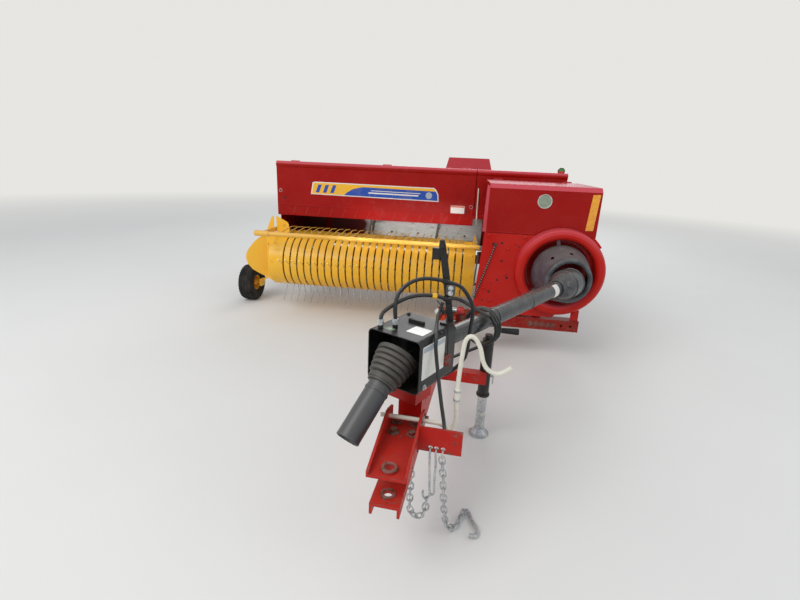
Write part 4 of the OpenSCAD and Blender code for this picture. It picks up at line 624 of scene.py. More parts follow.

# Hood: bare round badge, amber reflector, hem, side bolts, and a pale strip on the folded edge beside the panel as a
# painted highlight
hoodFace = frontFace(hoodPlane)
badge = {"centre": (1.171, hoodPlane, 1.238), "radius": 0.053}
r = badge["radius"]
turned("hoodBadgeRim", [(r - 0.008, 0), (r, 0), (r, 0.003), (r - 0.002, 0.005), (r - 0.006, 0.005), (r - 0.008, 0.003)],
       along(badge["centre"], forward), "chromedPlastic", "hood_front", 64)
turned("hoodBadgeField", [(0, 0), (r - 0.007, 0), (r - 0.007, 0.0025), (r * 0.5, 0.0040), (0, 0.0045)],
       along(badge["centre"], forward), "badgeEnamel", "hood_front", 64)
plate("hoodReflector", [(1.486, 1.040), (1.542, 1.044), (1.557, 1.305), (1.504, 1.302)], 0.0035, hoodFace,
      "amberPrismReflector", "hood_front", 0.001)
plate("hoodHem", [(0.768, 0.9885), (1.130, 0.9885), (1.124, 0.996), (0.768, 0.996)], 0.0025, hoodFace, "shadeDarkenedShieldEnamel",
      "hood_front", 0.001)
sideRows = (-0.66, -0.30, 0.0)
bolts("hoodSideBolts", 0.012, [((0.765, y, 1.02), rightward) for y in sideRows]
      + [((1.570, y, z), leftward) for y in sideRows for z in (1.02, 1.29)], "shadeDarkenedShieldEnamel", "hood_front")
# painted highlight: a pale red strip where the hood's bevelled edge would catch the light
plate("hoodEdgeHighlight", [(0.736, 0.990), (0.768, 0.990), (0.776, 1.322), (0.746, 1.338)], 0.010,
      frontFace(hoodPlane + 0.0115), "edgeHighlightEnamel", "hood_front", 0.004)
# Counter dial behind the hood's top corner, half green and half red, on a bent strap
dialPlace = frontFace(0.085, 1.419, 1.446)
turned("dialCase", [(0, -0.022), (0.027, -0.022), (0.030, -0.018), (0.030, 0.003), (0.027, 0.003), (0.0265, 0), (0, 0)],
       dialPlace, "blackEnamel", "main", 40)
for name, finish, start in (("dialGreen", "greenVinylFilm", 0), ("dialRed", "redVinylFilm", 180)):
    turned(name, [(0, 0.0002), (0.025, 0.0002), (0.025, 0.0008), (0, 0.0008)], dialPlace @ aboutZ(start), finish,
           "main", 20, math.pi)
plate("dialStrap", rounded(1.407, 1.416, 1.431, 1.440, 0.003), 0.003, frontFace(0.106), "shadeDarkenedShieldEnamel", "main")
# Prop rod and bolts on the strip between panel and hood
tube("panelPropRod", [(0.703, 0.046, 1.262), (0.704, 0.041, 1.250), (0.707, 0.041, 1.10), (0.710, 0.041, 0.945),
                      (0.711, 0.046, 0.932)], 0.006, "rodEnamel", "main")
frontBolts("stripBolts", 0.012, panelPlane, [(0.742, 1.36), (0.742, 1.22), (0.742, 1.05)], "shadeDarkenedShieldEnamel", "main")
print("hood dressed")

# Lower shield: bolts, rope of the twine tensioner, black discs in the small holes as painted shade, lip of the ring
frontBolts("shieldBolts", 0.017, hoodPlane, [(0.942, 0.868), (0.939, 0.670), (0.790, 0.965), (0.790, 0.545),
                                             (1.06, 0.965), (0.842, 0.448), (1.505, 0.395), (0.787, 0.700)],
           "lowerShieldEnamel", "main")
frontBolts("beamBolts", 0.024, -0.760, [(x, 0.285) for x in (1.180, 1.225, 1.270, 1.315, 1.355, 0.700, 0.640)],
           "wornBoltEnamel", "main")
rope = {"start": (0.848, -0.757, 0.898), "end": (0.722, -0.758, 0.470), "radius": 0.0055, "bulge": 0.003, "steps": 6}
ropePoints = []
for i in range(rope["steps"] + 1):
    t = i / rope["steps"]
    bulge = Vector((0, -rope["bulge"] * math.sin(t * math.pi), 0))
    ropePoints.append(Vector(rope["start"]).lerp(Vector(rope["end"]), t) + bulge)
tube("tensionRope", ropePoints, rope["radius"], "braidedRope", "main")
bolts("ropeAnchors", 0.012, [(rope["start"], forward), (rope["end"], forward)], "castEnamel", "main")
# painted shade: black discs that stand for the dark inside of the holes
shieldHoleShades = (  # X, Z and size
    (0.894, 0.911, 1.0), (1.000, 0.903, 0.6), (1.024, 0.889, 0.7), (0.887, 0.617, 1.0), (0.843, 0.589, 0.6),
    (0.787, 0.444, 0.8), (0.830, 0.900, 1.1), (0.830, 0.520, 1.1), (0.905, 0.770, 1.1), (0.960, 0.640, 1.1))
plugShape = turnedShape([(0, 0), (0.0085, 0), (0.0085, 0.0008), (0.006, 0.0012), (0, 0.0004)], 20)
repeated("shieldHoleShades", plugShape, [along((x, hoodPlane, z), forward) @ Matrix.Scale(size, 4)
                                    for x, z, size in shieldHoleShades], "blackRubber", "main")
lip = {"inner": 0.333, "outer": 0.352, "thick": 0.002, "start": 35, "sweep": 112}  # degrees
turned("ringLip", [(lip["inner"], 0), (lip["outer"], 0), (lip["outer"], lip["thick"]), (lip["inner"], lip["thick"])],
       frontFace(hoodPlane + 0.006, rearJoint.x, rearJoint.z) @ aboutZ(lip["start"]), "lowerShieldEnamel", "main", 40,
       math.radians(lip["sweep"]))
print("lower shield dressed")

# Driveline: blank label and collars on the tube, lip and screws of the rear bell
turned("driveLabel", [(0.0482, -0.062), (0.0490, -0.062), (0.0490, 0), (0.0482, 0)],
       driveFrame @ facing((0, -0.262, 0), (0.35, 0, 1), (1, 0, -0.35)), "whiteVinylFilm", "shaft_rear", 24, 1.9)
turned("driveBellLip", [(0.0975, -0.001), (0.1015, 0.001), (0.1018, 0.006), (0.0995, 0.009), (0.0965, 0.006)],
       driveFrame @ along((0, 0.034, 0), backward), "scuffedPolyethylene", "shaft_rear", 72)
for i, spot in enumerate((-0.225, -0.62, -1.02)):
    turned(f"driveCollar{i}", [(0.0482, -0.006), (0.0505, -0.005), (0.0515, 0), (0.0505, 0.005), (0.0482, 0.006)],
           driveFrame @ along((0, spot, 0), backward), "rearTubePolyethylene", "shaft_rear", 48)
bell = {"screws": 6, "first": 30, "circle": 0.080, "y": -0.150, "lean": -0.45}  # first one in degrees
screwShape = turnedShape([(0, 0), (0.007, 0), (0.007, 0.0015), (0.005, 0.003), (0, 0.0032)], 16)
screwSpots = []
for i in range(bell["screws"]):
    angle = math.radians(bell["first"] + 360 / bell["screws"] * i)
    x, z = math.cos(angle), math.sin(angle)
    screwSpots.append(driveFrame @ along((bell["circle"] * x, bell["y"], bell["circle"] * z), (x, bell["lean"], z)))
repeated("driveBellScrews", screwShape, screwSpots, "scuffedPolyethylene", "shaft_rear")

# Front half: clamp and black discs in the holes of the bellows as painted shade, mouth ring of the flywheel's guard,
# lip and collar of the front tube
shaftOut, shaftHeight = 0.135, 0.715  # how far before the shield's centre it starts, and how high
shaftStart = Vector((shieldCentre.x + shaftOut * math.sin(shieldTurn),
                     shieldCentre.y - shaftOut * math.cos(shieldTurn) - 0.004, shaftHeight))
frontShaft = along(shaftStart, Vector((-122, -220, -205)).normalized())
turned("bellowsClamp", [(0.0595, 0.066), (0.0620, 0.066), (0.0625, 0.070), (0.0625, 0.082), (0.0620, 0.086),
                        (0.0590, 0.086)], frontShaft, "bellowsPolyethylene", "shaft_front", 64)
# painted shade: black discs that stand for the dark inside of the bellows' holes
plugShape = turnedShape([(0, 0), (0.0125, 0), (0.0125, 0.0012), (0.0095, 0.0016), (0, 0.0006)], 20)
plugs = []
for height, radius, degrees, size in ((-0.030, 0.0880, 205, 1.0), (0.052, 0.0722, 190, 0.6), (0.052, 0.0722, 206, 0.6)):
    outward = Vector((math.cos(math.radians(degrees)), math.sin(math.radians(degrees)), 0.1))
    plugs.append(frontShaft @ along((outward.x * radius, outward.y * radius, height), outward) @ Matrix.Scale(size, 4))
repeated("bellowsHoleShades", plugShape, plugs, "blackRubber", "shaft_front")
guardMouth = [(0.1635, 0.214), (0.1646, 0.232), (0.1615, 0.2494), (0.1508, 0.2598), (0.1390, 0.2618), (0.1300, 0.2554),
              (0.1268, 0.243), (0.1300, 0.2312), (0.1330, 0.2330), (0.1500, 0.2320), (0.1600, 0.2150)]
mouthPlace = frontFace(hoodPlane - 0.040, rearJoint.x, rearJoint.z) @ Matrix.Rotation(math.radians(4.6), 4, "Y")
turned("guardMouthRing", guardMouth, mouthPlace, "scuffedPolyethylene", "main", 96)
turned("frontTubeLip", [(0.0425, 0.326), (0.0470, 0.326), (0.0478, 0.330), (0.0470, 0.334), (0.0440, 0.335),
                        (0.0425, 0.332)], frontShaft, "scuffedPolyethylene", "shaft_front", 56)
turned("frontTubeCollar", [(0.0470, 0.120), (0.0490, 0.121), (0.0498, 0.126), (0.0490, 0.131), (0.0470, 0.132)],
       frontShaft, "shaftTubePolyethylene", "shaft_front", 56)

# Bearing shield: blank labels, oval plate, handle and bolts
shieldBox = {"side": 0.128, "top": 0.840, "middle": 0.7275}  # half its width, its top, and the height of its middle
shieldSide = shieldFrame @ facing((shieldBox["side"], 0, shieldBox["middle"]), backward, upward)
plate("shieldSideLabel", rounded(-0.118, -0.052, 0.048, 0.088, 0.005), 0.0007, shieldSide,
      "whiteVinylFilm", "tongue", 0)
plate("shieldSideLabelStripe", rounded(-0.113, 0.062, 0.043, 0.083, 0.003), 0.0011, shieldSide,
      "silverVinylFilm", "tongue", 0)
shieldTop = shieldFrame @ facing((0, 0, shieldBox["top"]), leftward, backward)
plate("shieldTopPlate", rounded(-0.085, -0.108, -0.030, -0.072, 0.018, 8), 0.0012, shieldTop,
      "badgeEnamel", "tongue", 0.0004)
plate("shieldTopLabel", rounded(0.012, -0.070, 0.092, 0.004, 0.004), 0.0006, shieldTop, "whiteVinylFilm", "tongue", 0)
plate("shieldTopHandle", rounded(-0.050, 0.030, 0.030, 0.048, 0.008), 0.014, shieldTop, "blackEnamel", "tongue", 0.003)
bolts("shieldTopBolts", 0.013, [(shieldFrame @ Vector((-0.096, y, shieldBox["top"])), upward) for y in (0.010, 0.105)],
      "blackEnamel", "tongue")
sideOut = shieldFrame.to_3x3() @ Vector(leftward)
bolts("shieldSideBolts", 0.013, [(shieldFrame @ Vector((s * shieldBox["side"], y, 0.640)), sideOut * s) for s in (-1, 1)
      for y in (0.010, -0.095)], "galvanisedSteel", "tongue")
frontOut = shieldFrame.to_3x3() @ Vector(forward)
bolts("bearingBolts", 0.014, [(shieldFrame @ Vector((x, 0.020, z)), frontOut) for x in (-0.090, 0.090)
                              for z in (0.645, 0.812)], "galvanisedSteel", "tongue")

# Hoses and their post: collars and feet, caps and lead, clamps and tag, sleeve, plug, union
hoseCore = 0.0088
for name, x, y, z, height in (("hoseCollarA", -0.070, -0.043, 0.8575, 0.024),
                              ("hoseCollarB", -0.127, -0.061, 0.8575, 0.024),
                              ("hoseFoot0", 0.066, 0.211, 0.4625, 0.019), ("hoseFoot1", 0.058, 0.436, 0.4625, 0.019)):
    bevel = 0.004 if height > 0.020 else 0.003
    turned(name, [(hoseCore, 0), (0.0125, 0), (0.0130, 0.003), (0.0130, height - bevel), (0.0115, height),
                  (hoseCore, height)], Matrix.Translation((shieldCentre.x + x, shieldCentre.y + y, z)),
           "galvanisedSteel", "tongue", 24)
turned("leadCap", [(0, -0.015), (0.008, -0.0125), (0.0135, -0.007), (0.015, 0), (0.0135, 0.007), (0.008, 0.0125),
                   (0, 0.015)], Matrix.Translation((0.5075, -2.4430, 0.887)), "whitePolyamide", "tongue", 24)
turned("leadCapNeck", [(0, 0), (0.0085, 0), (0.0085, 0.018), (0.007, 0.024), (0, 0.024)],
       along((0.5425, -2.4310, 0.887), (-1, -0.34, 0)), "blackEnamel", "tongue", 20)
capDirection = (1, -0.25, 0.1)
turned("dustCap", [(0, 0), (0.013, 0), (0.015, 0.003), (0.015, 0.020), (0.012, 0.026), (0, 0.028)],
       along((0.5875, -2.431, 0.8990), capDirection), "redPolyethylene", "tongue", 24)
turned("dustCapNeck", [(0, 0), (0.009, 0), (0.009, 0.024), (0, 0.024)], along((0.5650, -2.4254, 0.8967), capDirection),
       "galvanisedSteel", "tongue", 20)
clamp = [(0, -0.010), (0.0022, -0.010), (0.0026, -0.007), (0.0026, 0.007), (0.0022, 0.010), (0, 0.010)]  # over the hose
for name, place, direction, finish in (("hoseTag", (0.488, -2.4514, 0.958), (60, 17, -5), "yellowVinylFilm"),
                                       ("hoseClampA", (0.527, -2.4450, 1.0230), (60, 4, -12), "blackEnamel"),
                                       ("hoseClampB", (0.536, -2.4450, 0.9480), (75, 8, -5), "blackEnamel")):
    turned(name, [(hoseCore + over, height) for over, height in clamp], along(place, direction), finish, "tongue", 24)
tube("postSleeve", [(0.5085, -2.4260, 1.150), (0.5220, -2.4260, 1.085), (0.5350, -2.4260, 1.015)], 0.0150,
     "blackRubber", "tongue")
turned("postCap", [(0, 0), (0.009, 0.001), (0.0130, 0.005), (0.0145, 0.011), (0.0130, 0.018), (0.009, 0.023),
                   (0, 0.025)], Matrix.Translation((0.5060, -2.4260, 1.1500)), "blackRubber", "tongue", 32)
tube("plugLead", [(0.500, -2.4520, 0.940), (0.530, -2.4900, 0.915), (0.554, -2.5230, 0.840), (0.561, -2.5240, 0.732)],
     0.0022, "blackRubber", "tongue")
plate("leadPlug", rounded(0.547, 0.682, 0.575, 0.732, 0.004), 0.014, frontFace(-2.5170),
      "wornBoltEnamel", "tongue", 0.003)
frontBolts("postBolts", 0.012, -2.4360, [(0.5215, 1.080), (0.5100, 1.146), (0.5500, 0.915)], "blackEnamel", "tongue")
plate("hoseUnion", rounded(0.534, 0.965, 0.572, 1.010, 0.008), 0.024, frontFace(-2.4300), "castEnamel", "tongue", 0.004)
frontBolts("unionBolts", 0.012, -2.4540, [(0.553, 0.976), (0.553, 0.998)], "galvanisedSteel", "tongue")
print("driveline and bearing shield dressed")

# Jack: grip with rings, crank arm and post, tube's lower collar, mounting pin with its ring, flared foot
jackPlace = Vector((0.770, -1.950, 0))
gripRings = {"count": 7, "pitch": 0.013, "growth": 0.0005}  # each ring is a little larger than the one before
grip = [(0, 0), (0.0135, 0), (0.0145, 0.002)]
for i in range(gripRings["count"]):
    wider, further = gripRings["growth"] * i, gripRings["pitch"] * i
    grip += [(0.0148 + wider, 0.006 + further), (0.0138 + wider, 0.009 + further), (0.0138 + wider, 0.012 + further)]
grip += [(0.0175, 0.096), (0.0150, 0.099), (0, 0.0995)]
turned("jackGrip", grip, along(jackPlace + Vector((0.0535, 0, 0.645)), leftward), "blackRubber", "tongue", 32)
turned("crankArm", [(0, 0), (0.0088, 0), (0.0088, 0.036), (0, 0.036)],
       along(jackPlace + Vector((0.0200, 0, 0.604)), leftward), "galvanisedSteel", "tongue", 20)
turned("crankPost", [(0, 0), (0.0098, 0.002), (0.0098, 0.016), (0.0080, 0.020), (0.0080, 0.052), (0, 0.054)],
       Matrix.Translation(jackPlace + Vector((0.050, 0, 0.5945))), "galvanisedSteel", "tongue", 20)
turned("jackCollar", [(0.0308, 0), (0.0355, 0), (0.0365, 0.002), (0.0365, 0.012), (0.0355, 0.014), (0.0308, 0.014)],
       Matrix.Translation(jackPlace + Vector((0, 0, 0.252))), "blackEnamel", "tongue", 48)
turned("jackPin", [(0, 0), (0.009, 0), (0.010, 0.002), (0.010, 0.012), (0.007, 0.016), (0, 0.017)],
       along(jackPlace + Vector((0.028, 0, 0.375)), leftward), "galvanisedSteel", "tongue", 24)
pinRing = {"radius": 0.024, "tilt": 0.004, "middle": (0.047, 0, 0.352), "points": 16}
ringPoints = []
for i in range(pinRing["points"]):
    across, down = math.sin(math.radians(24 * i)), math.cos(math.radians(24 * i))
    ringPoints.append(jackPlace + Vector(pinRing["middle"])
                      + Vector((pinRing["tilt"] * across, pinRing["radius"] * across, pinRing["radius"] * down)))
tube("jackPinRing", ringPoints, 0.0022, "galvanisedSteel", "tongue", 2)
turned("jackFoot", [(0.0262, 0.046), (0.0295, 0.044), (0.034, 0.034), (0.044, 0.016), (0.0545, 0.0121),
                    (0.0262, 0.0121)], Matrix.Translation(jackPlace), "galvanisedSteel", "jack_leg", 48)

# Parking rod: sleeve with two clamps, washers at its cross bar
rod = {"y": 0.265, "crossHeight": 0.500, "side": 0.0745, "sleeve": (0.2010, 0.0152)}
rodPlace = tongueFrame @ Vector((0, rod["y"] - tongueLength, 0))
turned("rodSleeve", [(0.0092, 0), (0.0125, 0.002), (0.0130, 0.006), (0.0130, 0.054), (0.0125, 0.058), (0.0092, 0.060)],
       Matrix.Translation(rodPlace + Vector((*rod["sleeve"], 0.588))), "rodEnamel", "support_rod", 24)
for i, height in enumerate((0.594, 0.632)):
    turned(f"rodClamp{i}", [(0.0128, 0), (0.0148, 0.001), (0.0148, 0.008), (0.0128, 0.009)],
           Matrix.Translation(rodPlace + Vector((*rod["sleeve"], height))), "galvanisedSteel", "support_rod", 24)
washerShape = turnedShape([(0.0095, 0), (0.019, 0), (0.019, 0.003), (0.0095, 0.003)], 28)
washerSpots = []
for s in (-1, 1):
    side = (s * rod["side"], rod["y"] - tongueLength, rod["crossHeight"])
    washerSpots.append(tongueFrame @ facing(side, backward, (0, 0, s)))
repeated("rodWashers", washerShape, washerSpots, "galvanisedSteel", "support_rod")


# Hitch and tongue: bolts through the plates, rings round the hitch pin's holes, weld, cap of the pivot
def onTongue(x, y, z):
    return tongueFrame @ Vector((x, y - tongueLength, z))


tongueLeft = tongueFrame.to_3x3() @ Vector(leftward)
bolts("hitchTopBolts", 0.026, [(onTongue(x, y, 0.450), upward) for x in (-0.038, 0.038) for y in (0.230, 0.305)],
      "wornBoltEnamel", "tongue")
bolts("hitchSideBolts", 0.024, [(onTongue(s * 0.074, 0.310, 0.482), tongueLeft * s) for s in (-1, 1)],
      "wornBoltEnamel", "tongue")
bolts("hitchWebBolts", 0.022, [(onTongue(s * 0.055, y, 0.392), tongueLeft * s) for s in (-1, 1)
                               for y in (0.225, 0.295)], "wornBoltEnamel", "tongue")
turned("hitchRing", [(0.0172, 0), (0.0300, 0), (0.0300, 0.004), (0.0275, 0.007), (0.0195, 0.007), (0.0172, 0.004)],
       Matrix.Translation(onTongue(0, 0, 0.4578)), "wornBoltEnamel", "tongue", 48)
turned("lowerHitchRing", [(0.0172, 0), (0.0280, 0), (0.0280, 0.004), (0.0255, 0.006), (0.0190, 0.006), (0.0172, 0.003)],
       Matrix.Translation(onTongue(0, 0, 0.3478)), "wornBoltEnamel", "tongue", 48)
weld = {"from": -0.049, "length": 0.098, "steps": 10, "wave": 0.001, "radius": 0.005}
weldPath = []
for i in range(weld["steps"] + 1):
    point = onTongue(weld["from"] + weld["length"] * i / weld["steps"], 0.3365, 0.4470)
    weldPath.append(point + Vector((0, weld["wave"] * (i % 2), 0)))
tube("hitchWeld", weldPath, weld["radius"], "hitchEnamel", "tongue", 2)
turned("pivotCap", [(0, 0), (0.034, 0), (0.036, 0.003), (0.036, 0.007), (0.026, 0.011), (0, 0.012)],
       Matrix.Translation((tonguePivot.x, tonguePivot.y, 0.3552)), "wornBoltEnamel", "main", 40)
print("hitch and jack dressed")


# Wheels: ribbed tyres in place of the plain ones, nuts and hub caps
tyres = {  # "out" is the side that faces out; "nuts" and "capFrom" are how far out from the centre they sit
    "Left": {"body": "wheel_left", "node": "tyre_left", "centre": (1.480, 1.150, 0.374), "out": 1,
             "radius": 0.374, "width": 0.270, "rim": 0.178, "grooves": 4, "lugs": 44,
             "nuts": 0.0062, "cap": 0.044, "capFrom": 0.0812, "capFinish": "blackEnamel"},
    "Right": {"body": "wheel_right", "node": "tyre_right", "centre": (-1.325, 1.150, 0.350), "out": -1,
              "radius": 0.350, "width": 0.205, "rim": 0.190, "grooves": 4, "lugs": 44,
              "nuts": 0.0059, "cap": 0.044, "capFrom": 0.0617, "capFinish": "blackEnamel"},
    "Gauge": {"body": "wheel_gauge", "node": "tyre_gauge", "centre": (-1.575, 0.110, 0.184), "out": -1,
              "radius": 0.184, "width": 0.150, "rim": 0.076, "grooves": 3, "lugs": 32,
              "nuts": 0, "cap": 0.020, "capFrom": 0.0448, "capFinish": "pickupEnamel"},
}
wheelNuts = {"count": 6, "circle": 0.085, "across": 0.022}


def tyreProfile(size):  # closed outline of a ribbed tyre: (radius, place across), wound once round
    r, w, rim, grooves = size["radius"], size["width"], size["rim"], size["grooves"]
    depth = 0.030 * r
    half = [(rim + 0.001, -w * 0.30), (rim + 0.002, -w * 0.385), (rim + 0.010, -w * 0.405), (rim + 0.016, -w * 0.40),
            (r * 0.66, -w * 0.462), (r * 0.67, -w * 0.470), (r * 0.69, -w * 0.470), (r * 0.70, -w * 0.478),
            (r * 0.77, -w * 0.492), (r * 0.83, -w * 0.495), (r * 0.88, -w * 0.478), (r * 0.885, -w * 0.462),
            (r * 0.90, -w * 0.462), (r * 0.905, -w * 0.470), (r * 0.935, -w * 0.438), (r * 0.962, -w * 0.385),
            (r * 0.982, -w * 0.335)]
    tread = []
    pitch = w * 0.58 / grooves
    for i in range(grooves):
        middle = -w * 0.29 + pitch * (i + 0.5)
        crown = r * (1 - 0.05 * (abs(middle) / w) ** 2) - 0.0005
        g = pitch * 0.13  # half the groove
        tread += [(crown - 0.001, middle - g * 1.6), (crown - 0.003, middle - g), (crown - depth, middle - g * 0.6),
                  (crown - depth, middle + g * 0.6), (crown - 0.003, middle + g), (crown - 0.001, middle + g * 1.6)]
    inner = [(rim + 0.001, w * 0.30)]
    return half + tread + [(a, -b) for a, b in reversed(half[1:])] + inner


def shoulderLug(size):  # rubber lug on the tyre's shoulder
    lug = plateShape([(-0.5, -0.5), (0.5, -0.35), (0.5, 0.35), (-0.5, 0.5)], 1, 0.12)
    lug.scale = (size["width"] * 0.105, size["radius"] * 0.052, size["radius"] * 0.024)
    bpy.ops.object.transform_apply(scale=True)
    return lug


def lugSpots(size):  # alternately on the two shoulders, leaning outwards
    spots = []
    for i in range(size["lugs"]):
        for side in (-1, 1):
            angle = 2 * math.pi * (i + (0.5 if side > 0 else 0)) / size["lugs"]
            outward = Vector((0, math.cos(angle), math.sin(angle)))
            tilt = (outward + Vector((0.62 * side, 0, 0))).normalized()
            acrossTread = Vector((side, 0, 0)) - tilt * (tilt.x * side)
            shoulder = Vector((side * size["width"] * 0.415, 0, 0))
            place = Vector(size["centre"]) + outward * size["radius"] * 0.938 + shoulder
            spots.append(facing(place, acrossTread, tilt.cross(acrossTread)))
    return spots


def outFrom(size, distance):
    return Vector(size["centre"]) + Vector((size["out"] * distance, 0, 0))


for side, size in tyres.items():
    tyre = turned("tyre" + side, tyreProfile(size), along(size["centre"], (size["out"], 0, 0)),
                  "tyreRubber", size["body"], 72)
    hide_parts(size["node"])
    repeated(f"tyre{side}Lugs", shoulderLug(size), lugSpots(size), "tyreRubber", size["body"])
for side, size in tyres.items():
    nutSpots = []
    for i in range(wheelNuts["count"] if size["nuts"] else 0):
        angle = 2 * math.pi / wheelNuts["count"] * i
        around = Vector((0, math.cos(angle), math.sin(angle)))
        nutSpots.append((outFrom(size, size["nuts"]) + wheelNuts["circle"] * around, (size["out"], 0, 0)))
    if nutSpots:
        bolts("wheelNuts" + side, wheelNuts["across"], nutSpots, "galvanisedSteel", size["body"])
for side, size in tyres.items():
    r = size["cap"]
    turned("hubCap" + side, [(0, 0), (r, 0), (r, 0.004), (r * 0.92, 0.010), (r * 0.7, 0.020), (r * 0.66, 0.024),
                             (0, 0.026)], along(outFrom(size, size["capFrom"]), (size["out"], 0, 0)),
           size["capFinish"], size["body"], 40)
print("wheels dressed")

# Pickup: a black sheet behind the reel as painted shade, bolts and dimples on the bands and flares, windguard's end
# cap, coils of the tines
tineRows = {"count": 26, "first": -1.040, "pitch": 0.066}
columns = [tineRows["first"] + tineRows["pitch"] * i for i in range(tineRows["count"])]
bandMiddles = [x + tineRows["pitch"] / 2 for x in columns[:-1]]
drum = {"y": -0.100, "z": 0.510, "radius": 0.240}


def onDrum(x, degrees):  # a place on the bands and its outward direction, degrees up from straight forward
    out = Vector((0, -math.cos(math.radians(degrees)), math.sin(math.radians(degrees))))
    return Vector((x, drum["y"], drum["z"])) + out * drum["radius"], out


# painted shade: a black sheet behind the reel, standing for the shade inside the pickup
plate("reelShadeSheet", [(-1.166, 0.300), (0.696, 0.300), (0.696, 0.560), (-1.166, 0.560)], 0.0015, frontFace(0.2600),
      "blackEnamel", "pickup", 0)
bolts("bandTopBolts", 0.011, [((x, 0.185, 0.7500), upward) for x in bandMiddles], "pickupEnamel", "pickup")
bolts("bandFootBolts", 0.011, [((x, 0.250, 0.2700), (0, 0, -1)) for x in bandMiddles], "pickupEnamel", "pickup")
dimpleShape = turnedShape([(0, -0.0004), (0.0065, -0.0004), (0.0065, 0.0008), (0.005, 0.0016), (0, 0.0018)], 12)
repeated("bandDimples", dimpleShape, [along(*onDrum(x, degrees)) for x in bandMiddles for degrees in (-8, -38)],
         "pickupEnamel", "pickup")
frontBolts("flareBolts", 0.015, -0.153, [(-1.200, 0.45), (-1.200, 0.62), (-1.262, 0.40), (-1.262, 0.66),
                                         (-1.100, 0.800), (-1.090, 0.850)], "pickupEnamel", "pickup")
bolts("drumEndBolts", 0.014, [onDrum(x, degrees) for x in (-1.150, 0.690) for degrees in (-40, 5, 50)],
      "pickupEnamel", "pickup")
turned("guardEndCap", [(0, 0), (0.0245, 0), (0.0245, 0.004), (0.022, 0.007), (0, 0.008)],
       along((-1.2398, -0.450, 0.810), rightward), "guardEnamel", "windguard", 32)
bolts("guardArmBolts", 0.018, [((x, y, z), out) for y, z in ((-0.400, 0.809), (-0.250, 0.806))
      for x, out in ((-1.1822, rightward), (0.7200, leftward))], "galvanisedSteel", "windguard")
coilShape = turnedShape([(0.0192, -0.0030), (0.0215, -0.0040), (0.0245, -0.0030), (0.0250, 0), (0.0245, 0.0030),
                         (0.0215, 0.0040), (0.0192, 0.0030)], 12)
reelSize = {"y": -0.115, "z": 0.440, "bars": 5, "radius": 0.135, "halfCoil": 0.013}
coilSpots = []
for k in range(reelSize["bars"]):
    angle = 2 * math.pi / reelSize["bars"] * k
    y, z = reelSize["y"] - reelSize["radius"] * math.sin(angle), reelSize["z"] + reelSize["radius"] * math.cos(angle)
    coilSpots += [along((x + dx, y, z), leftward) for x in columns
                  for dx in (-reelSize["halfCoil"], reelSize["halfCoil"])]
repeated("tineCoils", coilShape, coilSpots, "springSteelWire", "reel")
print("pickup dressed")

# Feeder: divider sheet behind the opening, bolts along the back sheet, bolts of the housing round it
plate("feederDivider", [(-0.990, 0.640), (-0.905, 0.640), (-0.880, 0.980), (-0.930, 0.980)], 0.003,
      frontFace(feederBack), "shadeDarkenedShieldEnamel", "main")
frontBolts("feederBackBolts", 0.014, feederBack, [(x, z) for x in (-1.10, -0.75, -0.20, 0.10, 0.62)
                                                  for z in (0.700, 0.880)], "wornBoltEnamel", "main")
bolts("feederRoofBolts", 0.013, [((-1.229, y, z), rightward) for y in (0.16, 0.45, 0.74) for z in (0.68, 0.98, 1.33)],
      "shadeDarkenedShieldEnamel", "main")
bolts("shieldBackBolts", 0.013, [((x, 0.797, z), backward) for x in (-1.15, -0.70, -0.25, 0.25) for z in (1.04, 1.33)],
      "shadeDarkenedShieldEnamel", "main")
bolts("shieldLeftBolts", 0.013, [((1.475, y, z), leftward) for y in (0.12, 0.44, 0.75) for z in (1.05, 1.34)],
      "shadeDarkenedShieldEnamel", "main")

# Bale case: bolts through the ribs, along a rail and at the tension unit with its crank, twine box, knotter guard
baleCase = {"middle": 1.055, "halfWidth": 0.2285, "sheet": 0.006, "rib": 0.030,
            "ribRows": (-0.250, 0.590, 1.250, 1.560, 2.210),
            "behindBox": (0.5, 1.6)}  # between these the twine box covers the right side
ribOut = baleCase["halfWidth"] + baleCase["sheet"] + baleCase["rib"]
ribSpots = []
for x, out in ((baleCase["middle"] - ribOut, rightward), (baleCase["middle"] + ribOut, leftward)):
    for y in baleCase["ribRows"]:
        if out == leftward or not baleCase["behindBox"][0] < y < baleCase["behindBox"][1]:
            ribSpots += [((x, y + 0.020, z), out) for z in (0.650, 0.800, 0.950)]
bolts("ribBolts", 0.019, ribSpots, "wornBoltEnamel", "main")
bolts("railBolts", 0.022, [((1.2735, y, 0.585), leftward) for y in (0.10, 0.70, 1.02)], "wornBoltEnamel", "main")
bolts("tensionBolts", 0.024, [((x, 2.000, 1.046), upward) for x in (0.780, 1.330)], "wornBoltEnamel", "main")
crankPlace = Matrix.Translation((baleCase["middle"], 2.000, 1.2215))
turned("tensionCrank", [(0.052, -0.007), (0.059, -0.007), (0.063, -0.003), (0.063, 0.003), (0.059, 0.007),
                        (0.052, 0.007), (0.048, 0.003), (0.048, -0.003)], crankPlace, "blackEnamel", "main", 40)
spokeShape = plateShape([(-0.052, -0.006), (0.052, -0.006), (0.052, 0.006), (-0.052, 0.006)], 0.006, 0.001)
repeated("tensionSpokes", spokeShape, [crankPlace @ Matrix.Translation((0, 0, -0.003)) @ aboutZ(60 * i)
                                       for i in range(3)], "blackEnamel", "main")
bolts("twineBoxBolts", 0.012, [((0.360, y, z), rightward) for y in (0.90, 1.36, 1.85) for z in (0.74, 1.03, 1.36)]
      + [((x, 1.900, z), backward) for x in (0.400, 0.600, 0.800) for z in (1.04, 1.36)], "shadeDarkenedShieldEnamel", "main")
latchShape = plateShape(rounded(-0.014, -0.050, 0.014, 0.020, 0.010), 0.006, 0.0015)
